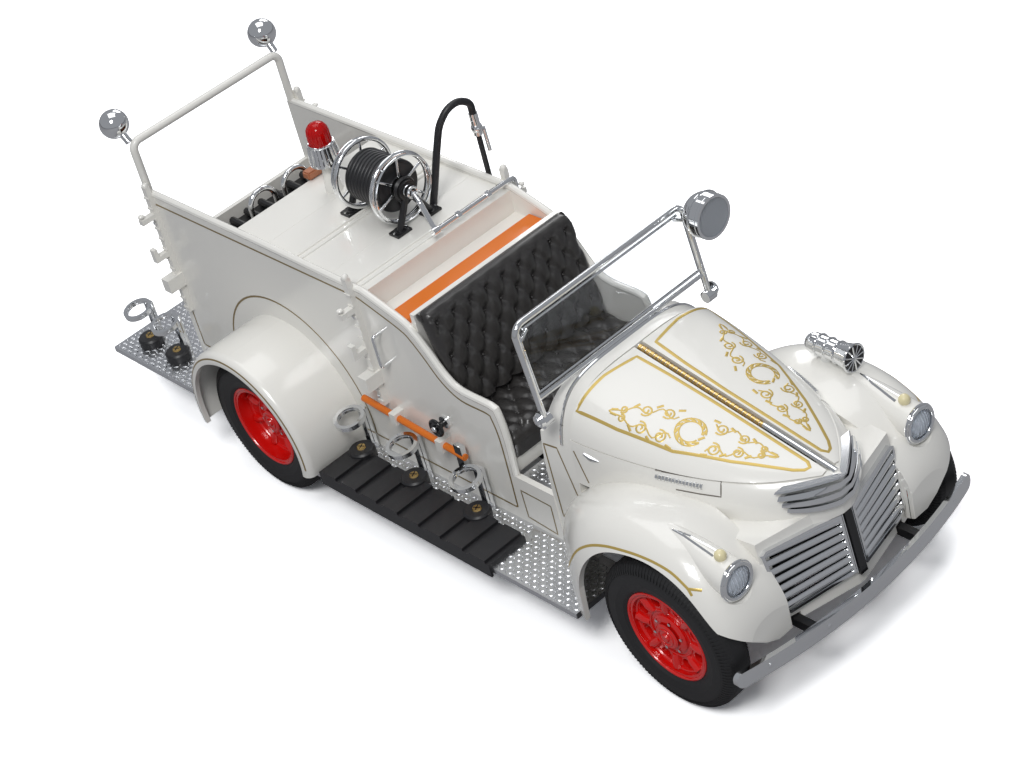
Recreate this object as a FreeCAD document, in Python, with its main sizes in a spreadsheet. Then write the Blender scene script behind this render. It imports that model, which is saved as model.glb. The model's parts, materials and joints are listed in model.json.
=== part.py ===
import FreeCAD, Part
import math
import os
import re
import Sketcher
from FreeCAD import Placement, Rotation, Vector

# Driving sizes in millimetres. The vehicle points along +X, its left side is +Y, the ground is z = 0.
SIZES = {
    # chassis stations
    "wheelbase": 143.5,
    "front_reach": 27.3,
    "rear_reach": 74.8,
    "frame_front": 9.5,
    "frame_rear": 46.0,
    "frame_half_width": 13.0,
    "frame_rail_width": 2.4,
    "frame_top": 27.7,
    "frame_depth": 4.5,
    # wheels
    "tyre_radius": 19.4,
    "tyre_width": 8.4,
    "tyre_bead": 11.6,
    "rim_inset": 1.2,
    "hand_hole_circle": 8.3,
    "hand_hole_radius": 1.35,
    "front_face": 39.4,
    "rear_face": 41.5,
    "twin_gap": 0.8,
    "spindle_radius": 1.5,
    "running_clearance": 0.05,
    "kingpin_offset": 27.8,
    "kingpin_radius": 1.15,
    # body
    "body_half_width": 25.5,
    "wall": 1.5,
    "rail_height": 68.0,
    "deck_height": 66.8,
    "bed_rear": 48.7,
    "deck_rear": 11.6,
    "bed_floor_height": 46.0,
    "floor_thickness": 1.5,
    "seat_box_front": 58.5,
    "door_front": 46.5,
    "sill_height": 29.2,
    "arm_height": 48.9,
    "tailgate_height": 50.0,
    # steps
    "board_height": 15.2,
    "board_thickness": 1.6,
    "board_half_width": 41.8,
    "tail_half_width": 38.2,
    "tyre_gap": 21.2,
    "pad_thickness": 1.2,
    # fenders and front
    "arch_height": 20.1,
    "rear_fender_radius": 24.0,
    "rear_fender_opening": 21.2,
    "rear_fender_half_width": 45.2,
    "front_fender_half_width": 43.4,
    "skin": 1.3,
    "cowl_length": 11.0,
    "hood_crown": 60.7,
    "hood_seam_rear": 50.4,
    "hood_seam_front": 48.3,
    "nose_reach": 22.4,
    "hood_gap": 0.3,
    "hinge_radius": 0.7,
    "grille_reach": 22.0,
    "grille_half_width": 20.8,
    "grille_bottom": 21.5,
    "grille_top": 38.5,
    "bumper_half_width": 39.4,
    "bumper_height": 18.0,
    "bumper_depth": 4.2,
    "bumper_thickness": 1.2,
    "bumper_bow": 5.6,
    "windshield_half_width": 27.4,
    "windshield_top": 79.9,
    "windshield_base": 55.5,
}

doc = FreeCAD.newDocument("FireEngine")
sheet = doc.addObject("Spreadsheet::Sheet", "Sizes")
for row, (alias, number) in enumerate(SIZES.items(), start=1):
    sheet.set(f"A{row}", alias)
    sheet.set(f"B{row}", str(number))
    sheet.setAlias(f"B{row}", alias)
doc.recompute()

# Stations of the two axles, as formulas on the sheet and as numbers.
FRONT = "((wheelbase + rear_reach - front_reach) / 2)"
REAR = "((rear_reach - front_reach - wheelbase) / 2)"


def size(alias):
    """The number a sheet cell holds."""
    return float(sheet.get(alias))


FRONT_X = (size("wheelbase") + size("rear_reach") - size("front_reach")) / 2
REAR_X = FRONT_X - size("wheelbase")


def formula(text):
    """Names the sheet in front of every alias of a formula."""
    return re.sub(r"[a-z][a-z_0-9]*", lambda m: f"Sizes.{m[0]}" if m[0] in SIZES else m[0], str(text))


def place(piece, at, turn=None):
    """Puts a piece at three formulas, turned by an optional rotation."""
    if turn is not None:
        piece.Placement = Placement(Vector(), turn)
    for axis, text in zip("xyz", at):
        piece.setExpression(f"Placement.Base.{axis}", formula(text))
    return piece


def box(label, lengths, at):
    """A box from its three lengths and its low corner."""
    piece = doc.addObject("Part::Box", label)
    for prop, text in zip(("Length", "Width", "Height"), lengths):
        piece.setExpression(prop, formula(text))
    return place(piece, at)


ALONG = {"x": Rotation(Vector(0, 1, 0), 90), "y": Rotation(Vector(1, 0, 0), -90), "z": Rotation()}


def rod(label, radius, length, at, along="z"):
    """A cylinder that starts at a point and runs along an axis."""
    piece = doc.addObject("Part::Cylinder", label)
    piece.setExpression("Radius", formula(radius))
    piece.setExpression("Height", formula(length))
    return place(piece, at, ALONG[along])


def ball(label, radius, at):
    """A sphere about a point."""
    piece = doc.addObject("Part::Sphere", label)
    piece.setExpression("Radius", formula(radius))
    return place(piece, at)


def ring(label, radius, thickness, at, turn=None):
    """A torus about a point, flat unless it is turned."""
    piece = doc.addObject("Part::Torus", label)
    piece.setExpression("Radius1", formula(radius))
    piece.setExpression("Radius2", formula(thickness))
    return place(piece, at, turn)


def fuse(label, pieces):
    """One piece from several."""
    joined = doc.addObject("Part::MultiFuse", label)
    joined.Shapes = pieces
    return joined


def cut(label, base, tool):
    """A piece less another."""
    rest = doc.addObject("Part::Cut", label)
    rest.Base = base
    rest.Tool = tool
    return rest

def outline(body, plane, corners):
    """A closed sketch on a body's own plane, each corner held by two driven dimensions."""
    sketch = body.newObject("Sketcher::SketchObject", body.Label + "_outline")
    origin = [o for o in body.Origin.OriginFeatures if o.Role == plane][0]
    sketch.AttachmentSupport = [(origin, "")]
    sketch.MapMode = "FlatFace"
    count = len(corners)
    start = [Vector(10 * math.cos(2 * math.pi * i / count), 10 * math.sin(2 * math.pi * i / count), 0)
             for i in range(count)]
    for i in range(count):
        sketch.addGeometry(Part.LineSegment(start[i], start[(i + 1) % count]), False)
    for i in range(count):
        sketch.addConstraint(Sketcher.Constraint("Coincident", i, 2, (i + 1) % count, 1))
    for i, corner in enumerate(corners):
        for kind, text, value in zip(("DistanceX", "DistanceY"), corner, start[i]):
            index = sketch.addConstraint(Sketcher.Constraint(kind, -1, 1, i, 1, value))
            sketch.setExpression(f"Constraints[{index}]", formula(text))
    return sketch


def turned(label, corners):
    """A body of revolution about Y from (radius, y) corners."""
    body = doc.addObject("PartDesign::Body", label)
    sketch = outline(body, "XY_Plane", corners)
    revolution = body.newObject("PartDesign::Revolution", label + "_turned")
    revolution.Profile = sketch
    revolution.ReferenceAxis = (sketch, ["V_Axis"])
    revolution.Angle = 360
    body.Tip = revolution
    return body


def slab(label, plane, corners, depth):
    """A plate from its outline on an origin plane, padded along that plane's normal."""
    body = doc.addObject("PartDesign::Body", label)
    sketch = outline(body, plane, corners)
    pad = body.newObject("PartDesign::Pad", label + "_pad")
    pad.Profile = sketch
    pad.setExpression("Length", formula(depth))
    body.Tip = pad
    return body


def solid_feature(label, shape):
    """A sub-part whose shape is made in code from the sheet's numbers."""
    piece = doc.addObject("Part::Feature", label)
    piece.Shape = shape
    return piece


SIDES = (("left", 1), ("right", -1))
nodes = []


def node(piece):
    """Keeps a finished sub-part for export, under its own label."""
    nodes.append(piece)
    return piece


# Chassis: two rails joined by cross members, under the cab floor and the hose bed.
rails = []
for side, sign in SIDES:
    rails.append(box(f"rail_{side}", (f"{FRONT} - {REAR} + frame_front + frame_rear", "frame_rail_width", "frame_depth"),
                     (f"{REAR} - frame_rear", f"{sign} * (frame_half_width - frame_rail_width / 2) - frame_rail_width / 2",
                      "frame_top - frame_depth")))
for index, station in enumerate((f"{REAR} - frame_rear", f"{REAR} - 24", f"{REAR} + 24", f"{FRONT} - 62",
                                 f"{FRONT} - 26", f"{FRONT} + frame_front - 3")):
    rails.append(box(f"cross_member_{index}", ("3", "2 * frame_half_width - 2 * frame_rail_width", "1.8"),
                     (station, "frame_rail_width - frame_half_width", "frame_top - frame_depth")))
# Bumper brackets: from each rail's end out and forward to the back of the bowed bar.
BOW_RADIUS = "((bumper_half_width ^ 2 + bumper_bow ^ 2) / (2 * bumper_bow))"
BAR_BACK = f"(front_reach - {BOW_RADIUS} + sqrt(({BOW_RADIUS} - bumper_thickness) ^ 2 - 18.5 ^ 2))"
for side, sign in SIDES:
    middle = f"{sign} * (frame_half_width - frame_rail_width / 2)"
    rails.append(box(f"bracket_leg_{side}", ("3", "frame_rail_width", "frame_top - 16.8"),
                     (f"{FRONT} + frame_front", f"{middle} - frame_rail_width / 2", "16.8")))
    width = "(18.5 - frame_half_width + frame_rail_width)"
    rails.append(box(f"bracket_foot_{side}", ("3", width, "2.4"),
                     (f"{FRONT} + frame_front", f"{sign} * (18.5 - {width} / 2) - {width} / 2", "16.8")))
    rails.append(box(f"bracket_arm_{side}", (f"{BAR_BACK} - frame_front", "2", "2.4"),
                     (f"{FRONT} + frame_front", f"{sign} * 17.5 - 1", "16.8")))
node(fuse("frame", rails))

# Engine: one plain block on two cross members.
node(box("engine", ("34", "17", "22"), (f"{FRONT} - 28", "-8.5", "frame_top - frame_depth + 1.8")))

# Front axle: a beam with an eye for each kingpin, under two leaf springs.
beam_parts = [box("axle_beam", ("3.2", "2 * kingpin_offset - 3", "3.2"),
                  (f"{FRONT} - 1.6", "1.5 - kingpin_offset", "tyre_radius - 1.6"))]
bores = []
for side, sign in SIDES:
    beam_parts.append(rod(f"axle_eye_{side}", "2", "3.2", (FRONT, f"{sign} * kingpin_offset", "tyre_radius - 1.6")))
    beam_parts.append(box(f"front_spring_{side}", ("18", "2.4", "frame_top - frame_depth - tyre_radius - 1.6"),
                          (f"{FRONT} - 9", f"{sign} * (frame_half_width - 1.2) - 1.2", "tyre_radius + 1.6")))
    bores.append(rod(f"eye_bore_{side}", "kingpin_radius + running_clearance", "4",
                     (FRONT, f"{sign} * kingpin_offset", "tyre_radius - 2")))
front_axle = cut("front_axle", fuse("axle_beam_eyes", beam_parts), fuse("eye_bores", bores))

# Rear axle: a tube with its drive housing, springs and wheel spindles.
rear_parts = [rod("axle_tube", "2.2", "48", (REAR, "-24", "tyre_radius"), "y"),
              ball("drive_housing", "6", (REAR, "0", "tyre_radius")),
              rod("rear_spindles", "spindle_radius", "2 * (rear_face - 5)", (REAR, "5 - rear_face", "tyre_radius"), "y")]
for side, sign in SIDES:
    rear_parts.append(box(f"rear_spring_{side}", ("44", "2.4", "frame_top - frame_depth - tyre_radius - 1.4"),
                          (f"{REAR} - 22", f"{sign} * (frame_half_width - 1.2) - 1.2", "tyre_radius + 1.4")))
node(fuse("axles", [front_axle, fuse("rear_axle", rear_parts)]))

# Steering knuckles: a yoke round each eye, its kingpin and the wheel's spindle.
for side, sign in SIDES:
    yoke = []
    for level, text in (("top", "tyre_radius + 1.9"), ("bottom", "tyre_radius - 3.1")):
        yoke.append(box(f"yoke_{level}_{side}", ("4.4", "5.2", "1.2"),
                        (f"{FRONT} - 2.2", f"{sign} * (kingpin_offset + 0.4) - 2.6", text)))
    yoke.append(box(f"yoke_back_{side}", ("4.4", "1.2", "6.2"),
                    (f"{FRONT} - 2.2", f"{sign} * (kingpin_offset + 3) - 0.6", "tyre_radius - 3.1")))
    yoke.append(rod(f"kingpin_{side}", "kingpin_radius", "6.2",
                    (FRONT, f"{sign} * kingpin_offset", "tyre_radius - 3.1")))
    reach = "(front_face - 2 - kingpin_offset - 3)"
    yoke.append(rod(f"spindle_{side}", "spindle_radius", reach,
                    (FRONT, f"{sign} * (kingpin_offset + 3 + {reach} / 2) - {reach} / 2", "tyre_radius"), "y"))
    node(fuse(f"knuckle_{side}", yoke))


def tyre(label, middle, station):
    """A tyre of revolution with rounded shoulders, its middle at a given y."""
    half = "tyre_width / 2"
    flank = (("tyre_bead", "rim_inset"), ("tyre_bead + 0.9", "0.45"), ("tyre_bead + 2.8", "0"), ("tyre_radius - 3", "0.1"),
             ("tyre_radius - 1.4", "0.6"), ("tyre_radius - 0.4", "1.5"), ("tyre_radius", "2.6"))
    corners = [(radius, f"{draw} - {half}") for radius, draw in flank]
    corners += [(radius, f"{half} - {draw}") for radius, draw in reversed(flank)]
    return place(turned(label, corners), (station, middle, "tyre_radius"))


def rim(label, middle, station, dish, sign):
    """A wheel disc of revolution: barrel, two lips, a disc at a given offset and a hub with its bore."""
    half = "tyre_width / 2"
    d = f"{sign} * ({dish})"
    disc_low = f"{d} - 0.7"
    disc_high = f"{d} + 0.7"
    lip = f"({half} - rim_inset)"
    corners = (("spindle_radius + running_clearance", f"{d} - 1.6"), ("3.6", f"{d} - 1.6"), ("3.6", disc_low),
               ("tyre_bead - 1.2", disc_low), ("tyre_bead - 1.2", f"-{lip}"), ("tyre_bead", f"-{lip}"),
               ("tyre_bead", lip), ("tyre_bead - 1.2", lip), ("tyre_bead - 1.2", disc_high),
               ("3.6", disc_high), ("3.6", f"{d} + 1.6"), ("spindle_radius + running_clearance", f"{d} + 1.6"))
    return place(turned(label, corners), (station, middle, "tyre_radius"))


def hand_holes(label, middle, sign):
    """Eight round holes through a front wheel's disc."""
    holes = []
    for index in range(8):
        turn = f"{45 * index + 21}"
        holes.append(rod(f"{label}_{index}", "hand_hole_radius", "6",
                         (f"{FRONT} + hand_hole_circle * cos({turn} deg)", f"{middle} + {sign} * 0.9 - 3",
                          f"tyre_radius + hand_hole_circle * sin({turn} deg)"), "y"))
    return fuse(label, holes)


# Wheels: single at the front, twins at the rear, each set one turning body.
for side, sign in SIDES:
    front_middle = f"{sign} * (front_face - tyre_width / 2)"
    node(tyre(f"front_tyre_{side}", front_middle, FRONT))
    node(cut(f"front_rim_{side}", rim(f"front_disc_{side}", front_middle, FRONT, "0.9", sign),
             hand_holes(f"hand_holes_{side}", front_middle, sign)))
    outer = f"{sign} * (rear_face - tyre_width / 2)"
    inner = f"{sign} * (rear_face - tyre_width * 3 / 2 - twin_gap)"
    node(fuse(f"rear_tyres_{side}", [tyre(f"outer_tyre_{side}", outer, REAR), tyre(f"inner_tyre_{side}", inner, REAR)]))
    spacer = rod(f"rim_spacer_{side}", "tyre_bead - 0.3", "twin_gap + 1.4",
                 (REAR, f"{sign} * (rear_face - tyre_width - twin_gap / 2) - twin_gap / 2 - 0.7", "tyre_radius"), "y")
    spacer_bore = rod(f"rim_spacer_bore_{side}", "tyre_bead - 1.2", "twin_gap + 1.4",
                      (REAR, f"{sign} * (rear_face - tyre_width - twin_gap / 2) - twin_gap / 2 - 0.7", "tyre_radius"), "y")
    node(fuse(f"rear_rims_{side}", [rim(f"outer_rim_{side}", outer, REAR, "-1.5", sign),
                                    rim(f"inner_rim_{side}", inner, REAR, "1.2", sign),
                                    cut(f"rim_spacer_ring_{side}", spacer, spacer_bore)]))

# Body: two sides with the stepped door edge, a low tailgate and a bulkhead, cut out over the rear wheels.
BED_REAR = f"({REAR} - bed_rear)"
side_profile = ((BED_REAR, "board_height"), (f"{FRONT} - door_front", "board_height"),
                (f"{FRONT} - door_front", "sill_height"), (f"{FRONT} - seat_box_front - 1.2", "sill_height"),
                (f"{FRONT} - seat_box_front - 0.8", "sill_height + 11"), (f"{FRONT} - seat_box_front - 1.8", "arm_height - 1.6"),
                (f"{FRONT} - seat_box_front - 3.6", "arm_height"), (f"{FRONT} - seat_box_front - 14", "arm_height + 0.2"),
                (f"{FRONT} - seat_box_front - 18.6", "arm_height + 2.6"), (f"{FRONT} - seat_box_front - 23", "arm_height + 8"),
                (f"{FRONT} - seat_box_front - 26.5", "arm_height + 12"), (f"{FRONT} - seat_box_front - 30.5", "arm_height + 14.6"),
                (f"{FRONT} - seat_box_front - 43.5", "deck_height"), (f"{FRONT} - seat_box_front - 43.5", "rail_height"),
                (BED_REAR, "rail_height"))
walls = []
for side, sign in SIDES:
    panel = slab(f"side_panel_{side}", "XZ_Plane", side_profile, "wall")
    place(panel, ("0", f"{sign} * (body_half_width - wall / 2) + wall / 2", "0"))
    walls.append(panel)
walls.append(box("tailgate", ("wall", "2 * body_half_width - 2 * wall", "tailgate_height - board_height"),
                 (BED_REAR, "wall - body_half_width", "board_height")))
walls.append(box("bulkhead", ("wall", "2 * body_half_width - 2 * wall", "deck_height - floor_thickness - frame_top"),
                 (f"{FRONT} - seat_box_front - 43.5 - wall", "wall - body_half_width", "frame_top")))
arch = rod("rear_arch_cut", "rear_fender_radius - 1.2", "4 * body_half_width", (REAR, "-2 * body_half_width", "arch_height"), "y")
core = box("arch_core", ("4 * rear_fender_radius", "2 * body_half_width - 5", "4 * rear_fender_radius"),
           (f"{REAR} - 2 * rear_fender_radius", "2.5 - body_half_width", "-rear_fender_radius"))
node(cut("body_sides", fuse("body_walls", walls), cut("rear_arch_cuts", arch, core)))

# Floors: the cab's plated floor, the dark hose bed and the white deck with its two seams.
inside = "2 * body_half_width - 2 * wall"
cab_plate = box("cab_plate", ("seat_box_front - door_front + cowl_length - wall", inside, "floor_thickness"),
                (f"{FRONT} - seat_box_front", "wall - body_half_width", "sill_height - floor_thickness"))
node(box("bed_floor", ("bed_rear + deck_rear - wall", inside, "floor_thickness"),
         (f"{BED_REAR} + wall", "wall - body_half_width", "bed_floor_height - floor_thickness")))
DECK_REAR = f"({REAR} - deck_rear)"
node(box("deck", (f"{FRONT} - seat_box_front - 43.5 - {DECK_REAR}", inside, "floor_thickness"),
         (DECK_REAR, "wall - body_half_width", "deck_height - floor_thickness")))


# Front clip: cowl, hood and nose share one family of arched sections.
COWL_X = FRONT_X - size("door_front")
HOOD_X = COWL_X + size("cowl_length")
CROWN_SLOPE = -0.2154


def arch(x, half_width, base, crown, power, steps=16):
    """A closed section at a station: a flat foot under a squared arch."""
    points = []
    for i in range(steps + 1):
        angle = math.pi * i / steps
        c, s = math.cos(angle), math.sin(angle)
        y = half_width * math.copysign(abs(c) ** (2 / power), c)
        points.append(Vector(x, y, base + (crown - base) * max(s, 0) ** (2 / power)))
    curve = Part.BSplineCurve()
    curve.interpolate(points)
    return Part.Wire([curve.toShape(), Part.LineSegment(points[-1], points[0]).toShape()])


def crown_at(x):
    """Height of the hood's centre line at a station."""
    return size("hood_crown") + CROWN_SLOPE * (x - HOOD_X)


def hood_loft(inset):
    """The hood and upper nose, drawn in on every side by a skin."""
    nose_x = FRONT_X + size("nose_reach")
    stations = ((0.0, 25.3, 4.0), (0.24, 24.2, 3.8), (0.48, 22.0, 3.4), (0.70, 18.5, 3.0), (0.85, 13.8, 2.6),
                (0.94, 8.4, 2.2), (1.0, 1.2, 2.0))
    wires = []
    for share, half_width, power in stations:
        x = HOOD_X + share * (nose_x - HOOD_X)
        wires.append(arch(x - inset * share, max(half_width - inset, 0.25), 38 - 4 * inset, crown_at(x) - inset, power))
    return Part.makeLoft(wires, True, False)


def lean(z):
    """How far the grille face stands ahead of its middle at a height."""
    return 0.11 * (0.5 * (size("grille_bottom") + size("grille_top")) - z)


def lower_nose(inset):
    """The broad lower nose behind the grille, a shallow prow in plan."""
    reach = FRONT_X + size("grille_reach") - inset
    wide = size("grille_half_width") + 1 - inset
    plan = [Vector(HOOD_X, -23 + inset), Vector(FRONT_X + 8, -22.5 + inset), Vector(reach - 5.2, -wide),
            Vector(reach, -1), Vector(reach, 1), Vector(reach - 5.2, wide), Vector(FRONT_X + 8, 22.5 - inset),
            Vector(HOOD_X, 23 - inset)]
    bottom = size("grille_bottom") - 3.6 - 4 * inset
    top = size("grille_top") + 2.5 - inset
    wires = []
    for level in (bottom, top):
        corners = [Vector(p.x + (lean(level) if p.x > FRONT_X + 9 else 0), p.y, level) for p in plan]
        wires.append(Part.makePolygon(corners + corners[:1]))
    return Part.makeLoft(wires, True, True)


def slab_between(corners, half_width):
    """A prism across the vehicle from (x, z) corners."""
    ring_of = [Vector(x, -half_width, z) for x, z in corners]
    return Part.Face(Part.makePolygon(ring_of + ring_of[:1])).extrude(Vector(0, 2 * half_width, 0))


skin = size("skin")
clip_solid = hood_loft(0).fuse(lower_nose(0))
clip_shell = clip_solid.cut(hood_loft(skin)).cut(lower_nose(skin))

# The two hood halves are the top of the shell, parted at the centre hinge.
hood_end = FRONT_X + 19.4
hinge_reach = FRONT_X + 1.6
gap = size("hood_gap")
seam_rear = size("hood_seam_rear")
seam_front = size("hood_seam_front")


def hood_region(grow):
    """The space the hood halves fill, grown by the gap for the opening that they close."""
    return slab_between(((HOOD_X - 1, seam_rear - grow), (hood_end + grow, seam_front - grow),
                         (hood_end + grow, 90), (HOOD_X - 1, 90)), 40)


hinge_radius = size("hinge_radius")
hood_top = clip_shell.common(hood_region(0))
for side, sign in SIDES:
    low = hinge_radius + 2 * gap
    half = Part.makeBox(80, 40, 80, Vector(HOOD_X + gap, low if sign > 0 else -low - 40, 20))
    node(solid_feature(f"hood_{side}", hood_top.common(half)))
hinge_start = Vector(HOOD_X + gap, 0, crown_at(HOOD_X) - hinge_radius)
hinge_end = Vector(hinge_reach, 0, crown_at(hinge_reach) - hinge_radius)
hinge_line = hinge_end - hinge_start
hinge = Part.makeCylinder(hinge_radius, hinge_line.Length, hinge_start, hinge_line)
strip_start = Vector(hinge_reach - 0.5, 0, crown_at(hinge_reach - 0.5) - hinge_radius + 0.3)
strip_end = Vector(hood_end + 1.6, 0, crown_at(hood_end + 1.6) - hinge_radius + 0.3)
strip = Part.makeCone(0.7, 0.8, (strip_end - strip_start).Length, strip_start, strip_end - strip_start)
nose_slot = Part.makeBox(hood_end + 2 - HOOD_X, 2 * (hinge_radius + 2 * gap), 20,
                         Vector(HOOD_X, -hinge_radius - 2 * gap, seam_front))
node(solid_feature("hood_hinge", hinge.fuse(strip).removeSplitter()))

# Nose shell: the rest of the clip, opened for the grille panels.
hole_low, hole_high = size("grille_bottom") + 1, size("grille_top") - 1.5
grille_hole = slab_between(((FRONT_X + 8, hole_low), (FRONT_X + 40, hole_low), (FRONT_X + 40, hole_high),
                            (FRONT_X + 8, hole_high)), size("grille_half_width") - 1.4)
arm_notch = Part.makeBox(20, 2.8, 10, Vector(FRONT_X + 8, 16.1, 9.6))
arm_notch = arm_notch.fuse(arm_notch.mirror(Vector(), Vector(0, 1, 0)))
axle_space = slab_between(((FRONT_X - 4, 10), (FRONT_X + 4, 10), (FRONT_X + 4, 24), (FRONT_X - 4, 24)), 40)
nose = clip_shell.cut(hood_region(gap)).cut(nose_slot).cut(hinge.fuse(strip)).cut(grille_hole).cut(axle_space).cut(arm_notch)
node(solid_feature("nose_shell", nose))

# Cowl: an arched box open to the cab, with the firewall at its front.
wall = size("wall")
body_half = size("body_half_width")


def cowl_block(inset, front, foot):
    """The arched solid of the cowl, drawn in by a wall and run to a given front and foot."""
    return Part.Face(arch(COWL_X, body_half - inset, foot, size("hood_crown") - inset, 4.5)).extrude(
        Vector(front - COWL_X, 0, 0))


cowl = cowl_block(0, HOOD_X, size("board_height")).cut(cowl_block(wall, HOOD_X - wall, size("board_height") - 4))
cowl = cowl.cut(slab_between(((COWL_X - 1, size("arm_height") - 1), (COWL_X + 1, size("arm_height") - 1),
                              (COWL_X + 7.5, 70), (COWL_X - 1, 70)), 40))
frame_space = Part.makeBox(30, 2 * size("frame_half_width") + 0.6, size("frame_top") - 10,
                           Vector(COWL_X - 5, -size("frame_half_width") - 0.3, 10))
cowl = cowl.cut(frame_space)
dash = cowl_block(wall, HOOD_X - wall, 10).common(Part.makeBox(1.2, 80, 11, Vector(COWL_X + 7.2, -40, 47)))
cowl = cowl.fuse(dash).removeSplitter()
node(solid_feature("cowl", cowl))
doc.recompute()
node(solid_feature("cab_floor", cab_plate.Shape.cut(cowl)))


# Front fenders: pontoon shells lofted along the vehicle, each with its lamp pod.
def fender_section(x, inner_y, outer, crown, foot, inset):
    """One closed section of the left-hand fender: inner edge, rounded top and outer side."""
    crown_y = inner_y + (outer - inner_y) * 0.45
    reach = outer - inset - crown_y
    top = crown - inset
    low = foot - 3 * inset
    points = [Vector(x, inner_y + (crown_y - inner_y) * i / 3, top - 1.6 * (1 - i / 3) ** 2) for i in range(3)]
    for i in range(9):
        angle = math.pi / 2 * (1 - i / 8)
        points.append(Vector(x, crown_y + reach * max(math.cos(angle), 0) ** (2 / 2.5),
                             low + (top - low) * math.sin(angle) ** (2 / 2.5)))
    curve = Part.BSplineCurve()
    curve.interpolate(points)
    corner = Vector(x, inner_y, low)
    return Part.Wire([curve.toShape(), Part.LineSegment(points[-1], corner).toShape(),
                      Part.LineSegment(corner, points[0]).toShape()])


# Fender stations from the axle: distance, inner edge, outer edge, crown and foot.
FENDER = ((-44, 19.0, 27.2, 24.5, 15.2), (-38, 19.0, 32.3, 32.5, 15.2), (-30, 19.0, 38.2, 39.6, 15.2),
          (-22, 19.0, 42.2, 43.8, 15.2), (-12, 19.0, 43.4, 46.0, 15.2), (-2, 19.0, 43.4, 45.9, 15.2),
          (6, 19.4, 42.8, 44.2, 16.0), (11, 19.9, 42.0, 41.6, 17.0), (15, 20.3, 41.0, 38.2, 17.8),
          (18, 20.6, 39.6, 34.8, 18.4), (20, 20.7, 37.4, 31.6, 18.9), (21.2, 20.8, 33.6, 27.8, 19.4))


def fender_block(inset):
    """The solid of the left-hand fender, drawn in by a skin."""
    draw = 1 - 0.6 * inset / FENDER[-1][0]
    wires = []
    for station, inner_y, outer, crown, foot in FENDER:
        x = FRONT_X + (station * draw if station > 0 else station)
        wires.append(fender_section(x, inner_y, outer, crown, foot, inset))
    return Part.makeLoft(wires, True, False)


def lamp_pod():
    """A teardrop pod on the fender, round at the lamp and tapering to a tail."""
    rings = ((17.4, 4.3, 38.5), (13.5, 4.15, 39.3), (8.0, 3.4, 41.2), (2.0, 2.1, 43.6), (-2.5, 0.6, 45.0))
    wires = []
    for s, r, z in rings:
        wires.append(Part.Wire(Part.makeCircle(r, Vector(FRONT_X + s, 30.2, z), Vector(1, 0, 0))))
    return Part.makeLoft(wires, True, False)


# The wheel opening in the outer side, then the lower edge of the front face.
LIP = ((-22.7, 8.0), (-22.7, 24.6), (-19.7, 32.7), (-14.2, 38.3), (-7.6, 40.6), (0.0, 41.0), (5.0, 39.9),
       (9.6, 37.6), (13.2, 34.5), (16.4, 30.8), (19.2, 26.8), (20.2, 22.5), (20.2, 8.0))
lip_curve = Part.BSplineCurve()
lip_curve.interpolate([Vector(FRONT_X + x, 30.8, z) for x, z in LIP[1:-1]])
lip_run = [Vector(FRONT_X + LIP[i][0], 30.8, LIP[i][1]) for i in (-2, -1, 0, 1)]
lip_edges = [lip_curve.toShape()] + [Part.LineSegment(a, b).toShape() for a, b in zip(lip_run, lip_run[1:])]
wheel_opening = Part.Face(Part.Wire(lip_edges)).extrude(Vector(0, 20, 0))
FRONT_EDGE = ((12.0, 8.0), (12.0, 18.2), (20.5, 18.5), (25.0, 19.4), (28.6, 21.2), (32.0, 24.0), (34.7, 26.2),
              (37.0, 28.2), (38.6, 29.8), (39.7, 31.1), (41.0, 34.0), (46.0, 38.0), (46.0, 8.0))
edge_points = [Vector(FRONT_X + 15.0, y, z) for y, z in FRONT_EDGE]
front_trim = Part.Face(Part.makePolygon(edge_points + edge_points[:1])).extrude(Vector(10, 0, 0))


def tyre_sweep(clearance):
    """The room of a steered front tyre: its tread and its flanks at five turns about the kingpin."""
    kingpin = Vector(FRONT_X, size("kingpin_offset"), size("tyre_radius"))
    radius, face = size("tyre_radius"), size("front_face")
    inner = face - size("tyre_width")
    tread = Part.makeCylinder(radius + clearance, face - inner - 4 + 2 * clearance,
                              Vector(FRONT_X, inner + 2 - clearance, radius), Vector(0, 1, 0))
    flanks = Part.makeCylinder(radius - 1.2 + clearance, face - inner + 2 * clearance,
                               Vector(FRONT_X, inner - clearance, radius), Vector(0, 1, 0))
    tyre_room = tread.fuse(flanks)
    turns = []
    for angle in (-8, -4, 0, 4, 8):
        turned_room = tyre_room.copy()
        turned_room.rotate(kingpin, Vector(0, 0, 1), angle)
        turns.append(turned_room)
    return turns[0].multiFuse(turns[1:])


tyre_space = tyre_sweep(0.5)
pod = lamp_pod()
fender = fender_block(0).cut(fender_block(skin)).cut(tyre_space)
fender = fender.fuse(pod.cut(fender_block(0))).cut(pod.common(fender_block(skin)))
fender = fender.cut(clip_solid).cut(cowl_block(0, HOOD_X, 8)).cut(cowl_block(0, HOOD_X, size("board_height")))
fender = fender.cut(wheel_opening).cut(front_trim).cut(axle_space)
fender = fender.cut(Part.makeBox(60, 60, size("board_height"), Vector(FRONT_X - 84, 0, 0)))
fender = fender.cut(Part.makeCylinder(5.2, 12, Vector(FRONT_X + 17.4, 30.2, 38.5), Vector(1, 0, 0))).removeSplitter()
fender = max(fender.Solids, key=lambda solid: solid.Volume)
mirror_y = (Vector(), Vector(0, 1, 0))
node(solid_feature("front_fenders", Part.makeCompound([fender, fender.mirror(*mirror_y)])))

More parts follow.
